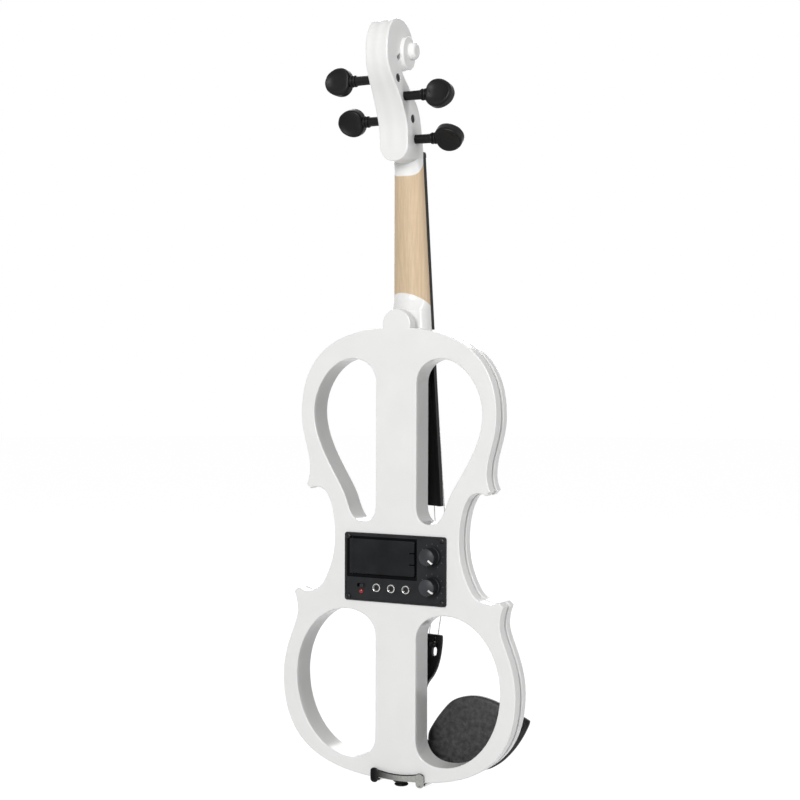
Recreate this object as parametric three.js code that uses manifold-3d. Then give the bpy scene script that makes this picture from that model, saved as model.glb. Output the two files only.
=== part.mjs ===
// A 4/4 electric violin with a laminated skeleton body, in millimetres, Z up along the neck.
// The strings face -Y, the flat back faces +Y, and +X is to the right of someone who looks at the strings.
// Pieces are drawn in the body's frame, whose origin is the middle of the bottom edge on the back face.
import * as THREE from "three";
import { mergeVertices } from "three/addons/utils/BufferGeometryUtils.js";
import Module from "manifold-3d";

const wasm = await Module();
wasm.setup();

// Clearances and fineness
const seam = 0.3;
const overrun = 3;
const weldDistance = 0.0005;
const outlineStep = 10;
const fewestSteps = 4;
const camberSides = 64;
const roundSides = 18;
const smallSides = 10;
const wireSides = 6;
const widestCornerShare = 0.95;

// Body: two slabs with a thin core set back between them
const bodyLength = 356;
const upperHalfWidth = 86.4;
const waistHalfWidth = 55.2;
const lowerHalfWidth = 103.3;
const bodyDepth = 22;
const backSlabDepth = 9.3;
const grooveHeight = 2.4;
const grooveDepth = 1.8;
const backEdgeRadius = 1;
const frontEdgeRadius = 3;
const beamHalfWidth = 17.9;
const buttonRadius = 12.3;
const buttonRise = 2;

// Cut-outs of the body, given by the wood that is left beside, over, between and under them
const upperRimWidth = 11.8;
const upperRimHeight = 24.4;
const lowerRimWidth = 12.9;
const lowerRimHeight = 14.6;
const waistMiddleShare = 0.47135;
const waistHalfHeight = 35;

// Electronics pocket and control panel
const panelHalfWidth = 45;
const panelHalfHeight = 27;
const panelDrop = 0.8;
const panelThickness = 1.5;
const panelCornerRadius = 2;
const panelEdgeRadius = 0.5;
const pocketHalfWidth = 40;
const pocketHalfHeight = 23;
const pocketFloor = 2;
const panelScrewX = 41.5;
const panelScrewZ = 24;
const panelScrewRadius = 1.1;
const panelScrewHeadRadius = 2.1;
const panelScrewHeadHeight = 0.9;
const panelScrewLength = 9;
const screwRecessWidth = 0.6;

// Battery bay
const doorLeft = -18.4;
const doorRight = 40.7;
const doorUnderMiddle = 5.7;
const doorOverMiddle = 22.7;
const doorThickness = 2.2;
const doorRise = 1.2;
const doorCornerRadius = 1.2;
const doorBevel = 0.7;
const doorAxisLift = 0.6;
const doorPinRadius = 0.35;
const doorPinLength = 1.4;
const latchSlitWidth = 0.8;
const latchSlitLength = 4.4;
const latchSlitSpacing = 9;
const trayWall = 0.8;
const trayInset = 0.9;
const batteryLength = 48.5;
const batteryWidth = 26;
const batteryThickness = 16.9;
const terminalRadius = 2.8;
const terminalHeight = 2.6;
const terminalSpacing = 12.7;
const clipThickness = 2.2;
const clipWidth = 22;
const clipDepth = 12;

// Controls on the panel, with their heights over its middle
const knobX = -33;
const knobRises = [11.8, -11.6];
const knobBaseRadius = 7.5;
const knobCapRadius = 6.6;
const knobHeight = 11.5;
const knobSkirtHeight = 3;
const knobDome = 0.6;
const knobBoreDepth = 8;
const pointerWidth = 1.2;
const pointerDepth = 0.3;
const pointerLength = 3;
const pointerTurns = [135, 143];
const potShaftRadius = 3;
const potBushRadius = 3.6;
const potBodyHalfWidth = 4.9;
const potBodyDepth = 7;
const jackPitch = 13;
const jackMiddleX = 2.4;
const jackRise = -15.6;
const jackNutRadius = 3.5;
const jackNutHeight = 1.2;
const jackBushRadius = 2.7;
const jackBoreRadius = 1.8;
const jackBodyHalfWidth = 4.4;
const jackBodyDepth = 11.5;
const switchX = 30.3;
const switchRise = -14.6;
const switchSlotLength = 6.8;
const switchSlotWidth = 3.2;
const switchTabLength = 3.2;
const switchTabRise = 1.4;
const switchTravel = 3;
const switchBodyDepth = 6;
const switchBodyMargin = 1.6;
const ledX = 29.8;
const ledRiseOverMiddle = -19.4;
const ledRadius = 1.5;
const ledRise = 1;
const ledDepth = 4;
const boardThickness = 1.6;
const boardHalfWidth = 35;
const boardLowRise = -22.4;
const boardHighRise = -7.8;

// Neck, measured from the body's top edge to the nut
const neckLength = 134;
const neckOverstand = 7.2;
const neckSetAngle = 3.12;
const neckHalfWidthAtNut = 12;
const fingerboardLength = 276;
const fingerboardHalfWidthAtEnd = 21;
const fingerboardSide = 4.8;
const fingerboardCamber = 42;
const fingerboardHollow = 3;
const fingerboardHollowLength = 132;
const fingerboardHollowMargin = 3.5;
const neckDepth = 11.8;
const heelLength = 24;
const tenonLength = 11;
const tenonHalfWidth = 12;
const nutLength = 4.2;
const nutRise = 0.9;
const nutDrop = 1.3;

// Head: pegbox, scroll and pegs
const headHeight = 102.9;
const headReachShare = 0.3207;
const headFrontSetback = 1.04;
const headFrontFoot = 2.18;
const chinHeight = 7;
const pegboxHalfWidth = 12.7;
const scrollHalfWidth = 9.6;
const slotHalfWidthAtNut = 8.7;
const slotHalfWidthAtTop = 4.9;
const slotStartShare = 0.07;
const voluteRadiusShare = 0.138;
const voluteStep = 2.9;
const eyeRadiusShare = 0.06414;
const eyeStep = 4.8;
const pegShaftRadius = 3.7;
const pegTipRadius = 3.15;
const pegCollarRadius = 4.7;
const pegCollarLength = 2.4;
const pegReach = 29;
const pegHeadLength = 24;
const pegHeadHalfHeight = 10.8;
const pegHeadThickness = 8.6;
const pegHeadBevel = 1.6;
const pegDishRadius = 24;
const pegDishDepth = 1.7;

// Strings from the G on the -X side to the E on the +X side
const stringNames = ["g", "d", "a", "e"];
const stringRadii = [0.42, 0.38, 0.34, 0.2];
const nutSpread = 16.4;
const bridgeSpread = 34;
const tailSpread = 26.4;
const windingTurns = 3;
const ballRadius = 1.5;
const coilGap = 0.15;

// Bridge and pickup
const bridgeDrop = 5.8;
const bridgeHalfWidth = 20.8;
const bridgeHeight = 37;
const bridgeCrown = 42;
const bridgeFootThickness = 4.4;
const bridgeTopThickness = 1.5;
const pickupThickness = 1.6;
const pickupHalfWidth = 22;
const pickupHalfLength = 2.6;
const leadRadius = 0.8;
const leadHoleX = -27;

// Tailpiece, in a frame of its own that starts under its lower end
const tailpieceLength = 105.2;
const tailpieceFoot = 6;
const tailpieceHalfWidth = 20.1;
const tailpieceThickness = 6;
const tailpieceCamber = 46;
const tailpieceBevel = 0.6;
const tailpieceRise = 6.8;
const tailpieceTilt = 7.6;
const fretInset = 1.3;
const fretRise = 0.9;
const fretHalfThickness = 0.6;
const fretHalfWidth = 17.5;
const keyholeWidth = 6.2;
const keyholeStartInset = 17.8;
const keyholeEndInset = 9.4;
const keySlotWidth = 1.5;
const keySlotInset = 2.6;
const beadRadius = 2;
const beadHalfLength = 2.6;
const beadInset = 8;
const gutRadius = 1.1;
const gutHalfSpread = 3.2;
const gutLift = 2.2;

// Fine tuner of the E string
const leverWidth = 3;
const leverSlotStartInset = 19.4;
const leverSlotEndInset = 3;
const leverPivotInset = 6.6;
const leverPivotLift = 1.6;
const leverArm = 10;
const leverPlate = 1.2;
const leverHookRise = 7.6;
const leverHookThickness = 1.1;
const leverPinRadius = 0.7;
const forkWidth = 1.1;
const hookedStringLift = 6;
const hookedBallGap = 0.9;
const tunerPlateThickness = 1.2;
const tunerPlateHalfWidth = 2.6;
const tunerPlateHalfLength = 4.4;
const tunerBushRadius = 2;
const tunerScrewRadius = 1.2;
const tunerHeadRadius = 2.9;
const tunerHeadHeight = 3.4;
const tunerHeadLift = 1.6;
const tunerHeadTeeth = 12;

// Saddle and endpin
const saddleHalfWidth = 14.4;
const saddleLength = 4.6;
const saddleRise = 2.9;
const saddleInset = 2.6;
const endpinStemRadius = 3.5;
const endpinStemLength = 11;
const endpinCollarRadius = 5.6;
const endpinCollarLength = 6;
const endpinGrooveRadius = 4.3;
const endpinGrooveWidth = 2.6;

// Chin rest and its clamp
const chinRestGap = 16.2;
const cupMiddleX = -51;
const cupMiddleZ = 36.4;
const cupHalfWidth = 45.5;
const cupHalfHeight = 28.5;
const cupThickness = 7.8;
const armThickness = 5;
const armLeft = -40;
const armRight = 32;
const armBottom = 3.4;
const armTop = 19;
const armCornerRadius = 6.5;
const clampMiddleX = -3.2;
const footSpread = 40.4;
const footHalfWidth = 6;
const footBottom = 5;
const footTop = 14;
const footBevel = 1;
const corkThickness = 1.4;
const bracketThickness = 1.5;
const bracketHalfWidth = 24.5;
const bracketTongueHalfWidth = 13;
const bracketTongueTop = 12;
const bracketBottom = -3.4;
const clampAxisDrop = 1.5;
const clampRodRadius = 0.8;
const barrelRadius = 1.6;
const barrelLength = 16;
const barrelHoleRadius = 0.45;
const bandBottom = 0.9;
const bandTop = 6.1;
const bandRise = 2.6;
const bandBottomRise = 1.7;
const lugHalfWidth = 3.3;
const lugTop = 9;
const lugBottom = -2.5;
const padBottom = 1.8;
const padTop = 5.4;

// Hanging point: where a wall hanger's fork carries the neck, under the pegbox
const hangerDrop = 16;

// Heights that follow from these sizes, from the bottom edge of the body
const waistMiddle = bodyLength * waistMiddleShare;
const upperHoleTop = bodyLength - upperRimHeight;
const upperHoleBottom = waistMiddle + waistHalfHeight;
const lowerHoleTop = waistMiddle - waistHalfHeight;
const panelMiddleHeight = waistMiddle - panelDrop;
const doorBottom = panelMiddleHeight - doorUnderMiddle;
const doorTop = panelMiddleHeight + doorOverMiddle;
const knobHeights = knobRises.map((rise) => panelMiddleHeight + rise);
const jackHeight = panelMiddleHeight + jackRise;
const switchHeight = panelMiddleHeight + switchRise;
const ledHeight = panelMiddleHeight + ledRiseOverMiddle;
const boardBottom = panelMiddleHeight + boardLowRise;
const boardTop = panelMiddleHeight + boardHighRise;
const bridgeZ = waistMiddle - bridgeDrop;
const nutHeight = bodyLength + neckLength;
const hangerHeight = nutHeight - hangerDrop;
const upperHoleHalfWidth = upperHalfWidth - upperRimWidth;
const lowerHoleHalfWidth = lowerHalfWidth - lowerRimWidth;
const headBackReach = headHeight * headReachShare;
const voluteRadius = headHeight * voluteRadiusShare;
const eyeRadius = headHeight * eyeRadiusShare;
const slotStart = headHeight * slotStartShare;

// Places along the tailpiece, from its lower end
const fretPlace = tailpieceLength - fretInset;
const keyholeStart = tailpieceLength - keyholeStartInset;
const keyholeEnd = tailpieceLength - keyholeEndInset;
const keySlotEnd = tailpieceLength - keySlotInset;
const beadPlace = tailpieceLength - beadInset;
const leverSlotStart = tailpieceLength - leverSlotStartInset;
const leverSlotEnd = tailpieceLength - leverSlotEndInset;
const leverPivot = tailpieceLength - leverPivotInset;

// Outlines as cubic stretches, each with its two handles and its end point.
// A row of two numbers is a straight stretch. Heights are shares of the body's length.
const upperBoutShares = [
  [0.718, 1, 1, 0.925, 1, 0.809],
  [1, 0.758, 0.909, 0.725, 0.909, 0.683],
  [0.909, 0.666, 0.926, 0.657, 0.944, 0.648],
  [0.9, 0.638],
];
const waistShares = [
  [1.332, 0.645, 1.232, 0.645, 1.15, 0.632],
  [1.06, 0.615, 1, 0.579, 1, 0.537],
  [1, 0.494, 1.069, 0.461, 1.196, 0.428],
];
const lowerBoutShares = [
  [0.683, 0.409, 0.765, 0.403, 0.818, 0.406],
  [0.837, 0.408, 0.852, 0.41, 0.865, 0.411],
  [0.9, 0.402],
  [0.881, 0.39, 0.869, 0.376, 0.869, 0.36],
  [0.869, 0.331, 1, 0.281, 1, 0.211],
  [1, 0.047, 0.6, 0, 0, 0],
];
// Cut-outs, in shares of their own width from the beam and of their own height from the bottom
const upperHoleShares = [
  [0, 0.848],
  [0, 0.94, 0.16, 1, 0.381, 1],
  [0.69, 1, 1, 0.84, 1, 0.669],
  [1, 0.46, 0.601, 0.273, 0.487, 0.149],
  [0.434, 0.087, 0.39, 0, 0.213, 0],
  [0.07, 0, 0, 0.04, 0, 0.11],
];
const lowerHoleShares = [
  [0, 0.824],
  [0, 0.934, 0.167, 1, 0.36, 1],
  [0.719, 1, 1, 0.782, 1, 0.528],
  [1, 0.215, 0.663, 0, 0.305, 0],
  [0.112, 0, 0, 0.063, 0, 0.164],
];
// Back of the head from the chin over the scroll, reach in shares of headBackReach, height of headHeight
const headBackShares = [
  [-0.3, -0.052],
  [0.062, -0.036],
  [0.135, 0.01],
  [0.15, 0.072],
  [0.16, 0.144],
  [0.197, 0.216],
  [0.28, 0.288],
  [0.414, 0.371],
  [0.58, 0.453],
  [0.765, 0.53],
  [0.905, 0.603],
  [0.985, 0.671],
  [1, 0.735],
  [0.96, 0.81],
  [0.855, 0.885],
  [0.69, 0.952],
  [0.51, 0.99],
  [0.34, 1],
  [0.1, 0.985],
  [-0.1, 0.938],
  [-0.25, 0.871],
  [-0.31, 0.8],
  [-0.28, 0.733],
  [-0.19, 0.677],
];
// Front of the head from the throat down to the last place above the nut
const headFrontShares = [
  [0.62, 0.704],
  [0.55, 0.66],
  [0.435, 0.615],
  [0.228, 0.556],
  [0.01, 0.494],
  [-0.176, 0.433],
  [-0.342, 0.371],
  [-0.446, 0.299],
  [-0.508, 0.227],
  [-0.57, 0.144],
];
// Floor of the string slot, from the nut up to the throat
const slotFloorShares = [
  [-0.052, 0.093],
  [0, 0.175],
  [0.104, 0.258],
  [0.27, 0.34],
  [0.435, 0.412],
  [0.611, 0.494],
  [0.757, 0.567],
  [0.81, 0.628],
  [0.8, 0.68],
  [0.72, 0.723],
];
// Mouth of the string slot, from the throat out to the front
const slotMouthShares = [
  [0.62, 0.704],
  [0.456, 0.618],
  [0.104, 0.577],
];
// Half width of the head against height, from pegboxHalfWidth (1) to scrollHalfWidth (0)
const headWidthShares = [
  [0.072, 0.9],
  [0.185, 1],
  [0.288, 0.98],
  [0.391, 0.82],
  [0.494, 0.5],
  [0.597, 0.18],
  [0.694, 0],
  [1.02, 0],
];
const voluteCentreShare = [0.2125, 0.752];
const eyeCentreShare = [0, 0.775];
// Peg places on the head and which side each head points to
const pegShares = { g: [-0.27, 0.1215], e: [-0.109, 0.27], d: [0.24, 0.427], a: [0.515, 0.551] };
const pegSides = { g: -1, e: 1, d: -1, a: 1 };
const pegTurns = { g: -42, e: -20, d: 10, a: 4 };
const windingShares = { g: -0.52, e: 0.5, d: -0.4, a: 0.45 };
const pegHeadShares = [
  [0, 0.36],
  [0.05, 0.62],
  [0.17, 0.87],
  [0.34, 1],
  [0.55, 0.98],
  [0.76, 0.8],
  [0.92, 0.5],
  [1, 0],
];
// Heel and chin of the neck: place along each stretch and the depth there as a share of neckDepth
const heelDepthShares = [
  [0, 1.7],
  [0.35, 1.7],
  [0.56, 1.7],
  [0.6, 1.54],
  [0.74, 1.28],
  [0.87, 1.1],
  [1, 1],
];
const chinDepthShares = [
  [0, 1],
  [0.3, 1.04],
  [0.5, 1.18],
  [0.64, 1.42],
  [0.76, 1.74],
  [0.88, 2],
  [1, 2.13],
];
const chinStretch = 24;
// Bridge half outline, in shares of its half width and its height
const bridgeShares = [
  [0.46, 0],
  [1, 0],
  [1, 0.05],
  [0.88, 0.1],
  [0.78, 0.17],
  [0.8, 0.25],
  [0.95, 0.32],
  [0.98, 0.4],
  [0.86, 0.45],
  [0.84, 0.5],
  [0.95, 0.56],
  [0.97, 0.66],
  [0.92, 0.85],
];
const bridgeArchShares = [
  [0.4, 0.05],
  [0.26, 0.12],
  [0, 0.155],
];
const bridgeWindowShares = [
  [0.34, 0.26],
  [0.56, 0.28],
  [0.62, 0.38],
  [0.5, 0.46],
  [0.34, 0.42],
];
const bridgeHeartShares = [
  [0, 0.5],
  [0.12, 0.56],
  [0.16, 0.64],
  [0.08, 0.69],
  [0, 0.66],
];
// Tailpiece half outline, in shares of its half width and its length
const tailpieceShares = [
  [0.26, 0],
  [0.29, 0.02],
  [0.3, 0.08],
  [0.3, 0.3],
  [0.3, 0.48],
  [0.32, 0.56],
  [0.375, 0.61],
  [0.48, 0.645],
  [0.645, 0.685],
  [0.79, 0.735],
  [0.885, 0.785],
  [0.96, 0.85],
  [1, 0.93],
  [0.99, 0.985],
  [0.94, 1],
];
// Outline of the chin rest's cup, in shares of its half sizes, anticlockwise from the strings' side
const cupShares = [
  [0.95, -0.5],
  [0.94, -0.2],
  [0.84, 0.1],
  [0.68, 0.45],
  [0.48, 0.78],
  [0.22, 0.95],
  [-0.06, 0.99],
  [-0.38, 0.88],
  [-0.72, 0.65],
  [-0.96, 0.48],
  [-1, 0.41],
  [-0.95, 0.2],
  [-0.82, -0.12],
  [-0.64, -0.47],
  [-0.4, -0.78],
  [-0.12, -1],
  [0.3, -1.04],
  [0.66, -0.86],
];
// Rings over the cup: size share and height share, out along the underside and back over the dish
const cupRingShares = [
  [0.35, 0.04],
  [0.7, 0.07],
  [0.9, 0.16],
  [0.98, 0.32],
  [1, 0.55],
  [0.985, 0.86],
  [0.93, 1],
  [0.8, 0.93],
  [0.6, 0.72],
  [0.32, 0.56],
];
const cupDishShare = 0.52;
const cupSplineSteps = 34;
const headSplineSteps = 46;

// Materials
const finish = (color, roughness, metalness) =>
  new THREE.MeshStandardMaterial({ color, roughness, metalness });
const whiteLacquer = finish(0xe9e9e8, 0.25, 0);
const maple = finish(0xdec5a5, 0.55, 0);
const blackSatin = finish(0x141414, 0.4, 0);
const blackPlastic = finish(0x1b1b1c, 0.55, 0);
const blackRubber = finish(0x121212, 0.8, 0);
const nickel = finish(0xb9babb, 0.25, 1);
const darkSteel = finish(0x5d5d5c, 0.3, 1);
const steelWire = finish(0xc2c2c0, 0.3, 1);
const cork = finish(0xa9794d, 0.9, 0);
const redLens = finish(0xd8201c, 0.2, 0);
const greenBoard = finish(0x1f5b34, 0.6, 0);
const whitePlastic = finish(0xdcdcda, 0.5, 0);
const batteryCase = finish(0x3a3f46, 0.5, 0.2);
const grayWire = finish(0x3c3c3c, 0.6, 0);

// Solids
const degrees = (angle) => THREE.MathUtils.degToRad(angle);
const point2 = (x, y) => new THREE.Vector2(x, y);
const point3 = (x, y, z) => new THREE.Vector3(x, y, z);

// A closed geometry as a solid that faces out
const solidOf = (geometry) => {
  const bare = new THREE.BufferGeometry();
  bare.setAttribute("position", geometry.getAttribute("position"));
  bare.setIndex(geometry.index);
  const merged = mergeVertices(bare, weldDistance);
  const corners = Array.from(merged.index.array);
  const vertProperties = merged.attributes.position.array;
  const make = (list) => {
    const mesh = new wasm.Mesh({ numProp: 3, vertProperties, triVerts: new Uint32Array(list) });
    return new wasm.Manifold(mesh);
  };
  const made = make(corners);
  return made.volume() < 0 ? make(corners.reverse()) : made;
};

const geometryOf = (solid) => {
  const mesh = solid.getMesh();
  const geometry = new THREE.BufferGeometry();
  geometry.setAttribute("position", new THREE.BufferAttribute(mesh.vertProperties, mesh.numProp));
  geometry.setIndex(new THREE.BufferAttribute(mesh.triVerts, 1));
  const flat = geometry.toNonIndexed();
  flat.computeVertexNormals();
  return flat;
};

const join = (first, ...others) => others.reduce((sum, other) => sum.add(other), first);
const cut = (first, ...tools) => tools.reduce((rest, tool) => rest.subtract(tool), first);
const common = (first, second) => first.intersect(second);

// A box between two corners
const box = (x0, x1, y0, y1, z0, z1) => {
  const geometry = new THREE.BoxGeometry(x1 - x0, y1 - y0, z1 - z0);
  geometry.translate((x0 + x1) / 2, (y0 + y1) / 2, (z0 + z1) / 2);
  return solidOf(geometry);
};

// A profile of [radius, height] turned about an axis through a point
const turned = (profile, axis, middle, sides = roundSides) => {
  const points = profile.map(([radius, height]) => point2(radius, height));
  const geometry = new THREE.LatheGeometry(points, sides);
  if (axis === "x") geometry.rotateZ(-Math.PI / 2);
  if (axis === "z") geometry.rotateX(Math.PI / 2);
  geometry.translate(middle.x, middle.y, middle.z);
  return solidOf(geometry);
};

// A straight round bar from low to high along an axis
const bar = (radius, low, high, axis, middle, sides = roundSides) => {
  const profile = [
    [0, low],
    [radius, low],
    [radius, high],
    [0, high],
  ];
  return turned(profile, axis, middle, sides);
};

// An outline pushed along the axis that its plane leaves out, from low to high
const prism = (points, plane, low, high) => {
  const shape = new THREE.Shape(points);
  const geometry = new THREE.ExtrudeGeometry(shape, { depth: high - low, bevelEnabled: false });
  if (plane === "xz") {
    geometry.rotateX(Math.PI / 2);
    geometry.translate(0, high, 0);
  }
  if (plane === "yz") {
    const turn = new THREE.Matrix4();
    turn.makeBasis(point3(0, 1, 0), point3(0, 0, 1), point3(1, 0, 0));
    geometry.applyMatrix4(turn);
    geometry.translate(low, 0, 0);
  }
  if (plane === "xy") geometry.translate(0, 0, low);
  return solidOf(geometry);
};

// A closed surface over rings of equally many points, with a flat or pointed end at each side
const loft = (rings, firstTip, lastTip) => {
  const count = rings[0].length;
  const middleOf = (ring) =>
    ring.reduce((sum, point) => sum.add(point), point3(0, 0, 0)).divideScalar(count);
  const tips = [firstTip ?? middleOf(rings[0]), lastTip ?? middleOf(rings[rings.length - 1])];
  const points = [...rings.flat(), ...tips];
  const corners = [];
  rings.slice(1).forEach((ring, level) => {
    ring.forEach((point, i) => {
      const next = (i + 1) % count;
      const low = level * count;
      const high = low + count;
      corners.push(low + i, low + next, high + next, low + i, high + next, high + i);
    });
  });
  const lastStart = (rings.length - 1) * count;
  const firstTipIndex = rings.length * count;
  rings[0].forEach((point, i) => {
    const next = (i + 1) % count;
    corners.push(next, i, firstTipIndex);
    corners.push(lastStart + i, lastStart + next, firstTipIndex + 1);
  });
  const geometry = new THREE.BufferGeometry().setFromPoints(points);
  geometry.setIndex(corners);
  return solidOf(geometry);
};

// A round wire through points, each ring square to the way through its point
const wire = (points, radius, sides = wireSides) => {
  const side = point3(1, 0, 0);
  const rings = points.map((point, i) => {
    const before = points[Math.max(i - 1, 0)];
    const after = points[Math.min(i + 1, points.length - 1)];
    const way = after.clone().sub(before).normalize();
    const across = Math.abs(way.x) > Math.SQRT1_2 ? point3(0, 0, 1) : side;
    const u = across.clone().sub(way.clone().multiplyScalar(across.dot(way))).normalize();
    const v = way.clone().cross(u);
    return Array.from({ length: sides }, (unused, k) => {
      const turn = (2 * Math.PI * k) / sides;
      const offset = u.clone().multiplyScalar(Math.cos(turn)).addScaledVector(v, Math.sin(turn));
      return point.clone().addScaledVector(offset, radius);
    });
  });
  return loft(rings);
};

// A loop moved inwards by a distance, with its corners mitred
const insetLoop = (loop, inset) => {
  const turnsLeft = !THREE.ShapeUtils.isClockWise(loop);
  const sign = turnsLeft ? 1 : -1;
  const normal = (from, to) => {
    const edge = to.clone().sub(from).normalize();
    return point2(-edge.y * sign, edge.x * sign);
  };
  return loop.map((point, i) => {
    const before = loop[(i + loop.length - 1) % loop.length];
    const after = loop[(i + 1) % loop.length];
    const first = normal(before, point);
    const middle = first.clone().add(normal(point, after)).normalize();
    const reach = inset / Math.max(middle.dot(first), Math.SQRT1_2);
    return point.clone().addScaledVector(middle, reach);
  });
};

// The same without the points where a short edge has turned round on itself
const insetOutline = (loop, inset) => {
  const moved = insetLoop(loop, inset);
  return moved.filter((point, i) => {
    const next = (i + 1) % loop.length;
    const edge = loop[next].clone().sub(loop[i]);
    return moved[next].clone().sub(point).dot(edge) > 0;
  });
};

// A plate with holes in the XZ plane. Each level is [Y, inset], from the back towards the strings.
const plate = (outline, holes, levels) => {
  const turnedRight = (loop) => (THREE.ShapeUtils.isClockWise(loop) ? loop : [...loop].reverse());
  const contour = turnedRight(outline).reverse();
  const openings = holes.map(turnedRight);
  const loops = [contour, ...openings];
  const points = levels.flatMap(([y, inset]) =>
    loops.flatMap((loop, k) =>
      insetLoop(loop, k === 0 ? inset : -inset).map((at) => point3(at.x, y, at.y)),
    ),
  );
  const size = loops.reduce((sum, loop) => sum + loop.length, 0);
  const flat = loops.flat();
  const corners = [];
  const top = (levels.length - 1) * size;
  THREE.ShapeUtils.triangulateShape(contour, openings).forEach(([a, b, c]) => {
    const left = flat[b].clone().sub(flat[a]).cross(flat[c].clone().sub(flat[a])) > 0;
    const [p, q, r] = left ? [a, b, c] : [a, c, b];
    corners.push(p, r, q, top + p, top + q, top + r);
  });
  levels.slice(1).forEach((unused, level) => {
    let start = level * size;
    loops.forEach((loop) => {
      loop.forEach((point, i) => {
        const a = start + i;
        const b = start + ((i + 1) % loop.length);
        corners.push(a, b, b + size, a, b + size, a + size);
      });
      start += loop.length;
    });
  });
  const geometry = new THREE.BufferGeometry().setFromPoints(points);
  geometry.setIndex(corners);
  return solidOf(geometry);
};

// Points along rows of cubic or straight stretches, each row's x and height scaled
const trace = (start, rows, xOf, zOf) => {
  const points = [start];
  rows.forEach((row) => {
    const from = points[points.length - 1];
    const ends = [];
    for (let i = 0; i < row.length; i += 2) ends.push(point2(xOf(row[i]), zOf(row[i + 1])));
    if (ends.length === 1) {
      points.push(ends[0]);
      return;
    }
    const curve = new THREE.CubicBezierCurve(from, ...ends);
    const steps = Math.max(fewestSteps, Math.round(curve.getLength() / outlineStep));
    points.push(...curve.getPoints(steps).slice(1));
  });
  return points;
};

const mirrored = (points) => points.map((point) => point2(-point.x, point.y));

// A rectangle with round corners, middle and half sizes given
const roundedBox = (x, z, halfWidth, halfHeight, wantedRadius) => {
  const shape = new THREE.Shape();
  const radius = Math.min(wantedRadius, halfWidth * widestCornerShare, halfHeight * widestCornerShare);
  const corners = [
    [1, -1, -90],
    [1, 1, 0],
    [-1, 1, 90],
    [-1, -1, 180],
  ];
  corners.forEach(([right, up, from]) => {
    const middleX = x + right * (halfWidth - radius);
    const middleZ = z + up * (halfHeight - radius);
    shape.absarc(middleX, middleZ, radius, degrees(from), degrees(from + 90), false);
  });
  const apart = (at, i, all) => i === 0 || at.distanceTo(all[i - 1]) > weldDistance;
  return shape.getPoints(fewestSteps).filter(apart);
};

const openLoop = (points) => {
  const last = points[points.length - 1];
  return last.distanceTo(points[0]) < seam ? points.slice(0, -1) : points;
};

// Body
const frontFace = -bodyDepth;
const coreBack = -backSlabDepth - seam;
const coreFront = -backSlabDepth - grooveHeight + seam;
const frontSlabBack = -backSlabDepth - grooveHeight;

const bodyOutline = () => {
  const height = (share) => share * bodyLength;
  const upper = trace(point2(0, bodyLength), upperBoutShares, (s) => s * upperHalfWidth, height);
  const waistStart = upper[upper.length - 1];
  const waist = trace(waistStart, waistShares, (s) => s * waistHalfWidth, height);
  const lowerStart = waist[waist.length - 1];
  const lower = trace(lowerStart, lowerBoutShares, (s) => s * lowerHalfWidth, height);
  const half = [...upper, ...waist.slice(1), ...lower.slice(1)];
  return [...half, ...mirrored(half.slice(1, -1)).reverse()];
};

const cutOut = (shares, halfWidth, bottom, top) => {
  const width = halfWidth - beamHalfWidth;
  const across = (share) => beamHalfWidth + share * width;
  const up = (share) => bottom + share * (top - bottom);
  const first = shares[shares.length - 1];
  const start = point2(across(first[4]), up(first[5]));
  return openLoop(trace(start, shares, across, up));
};

const upperHole = cutOut(upperHoleShares, upperHoleHalfWidth, upperHoleBottom, upperHoleTop);
const lowerHole = cutOut(lowerHoleShares, lowerHoleHalfWidth, lowerRimHeight, lowerHoleTop);
const bodyHoles = [upperHole, mirrored(upperHole), lowerHole, mirrored(lowerHole)];

// The room for the electronics
const pocketBottom = panelMiddleHeight - pocketHalfHeight;
const pocketTop = panelMiddleHeight + pocketHalfHeight;
const pocketFront = frontFace + pocketFloor;
const pocket = () =>
  box(-pocketHalfWidth, pocketHalfWidth, pocketFront, overrun, pocketBottom, pocketTop);

// The room that the battery door's hinge barrel turns in
const panelBack = seam;
const panelFace = panelBack + panelThickness;
const doorFace = panelFace + doorRise;
const doorAxisY = panelBack + doorAxisLift;
const doorHingeRadius = doorFace - doorAxisY;
const doorAxisX = doorRight - seam - doorHingeRadius;
const hingeRoom = () => {
  const reach = doorHingeRadius + seam;
  const left = doorAxisX - reach;
  const front = doorAxisY - reach;
  return box(left, doorRight, front, overrun, doorBottom, doorTop);
};

const screwPlaces = [-1, 1].flatMap((side) =>
  [-1, 1].map((up) => point3(side * panelScrewX, 0, panelMiddleHeight + up * panelScrewZ)),
);
const screwHoles = () =>
  screwPlaces.map((at) => bar(panelScrewRadius + seam, frontFace / 2, overrun, "y", at, smallSides));

const endpinY = -bodyDepth / 2;
const endpinHole = () => {
  const at = point3(0, endpinY, 0);
  return bar(endpinStemRadius + seam, -overrun, endpinStemLength + overrun, "z", at);
};

const tenonRoom = () => {
  const half = tenonHalfWidth + seam;
  const bottom = bodyLength - tenonLength - seam;
  return box(-half, half, frontFace - overrun, coreBack, bottom, bodyLength + overrun);
};

const bodyBack = () => {
  const levels = [
    [0, backEdgeRadius],
    [-backEdgeRadius, 0],
    [-backSlabDepth, 0],
  ];
  const slab = plate(bodyOutline(), bodyHoles, levels);
  const button = turned(
    [
      [0, -backSlabDepth],
      [buttonRadius, -backSlabDepth],
      [buttonRadius, -backEdgeRadius],
      [buttonRadius - backEdgeRadius, 0],
      [0, 0],
    ],
    "y",
    point3(0, 0, bodyLength + buttonRise),
    roundSides * 2,
  );
  return cut(join(slab, button), pocket(), hingeRoom(), endpinHole(), ...screwHoles());
};

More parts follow.
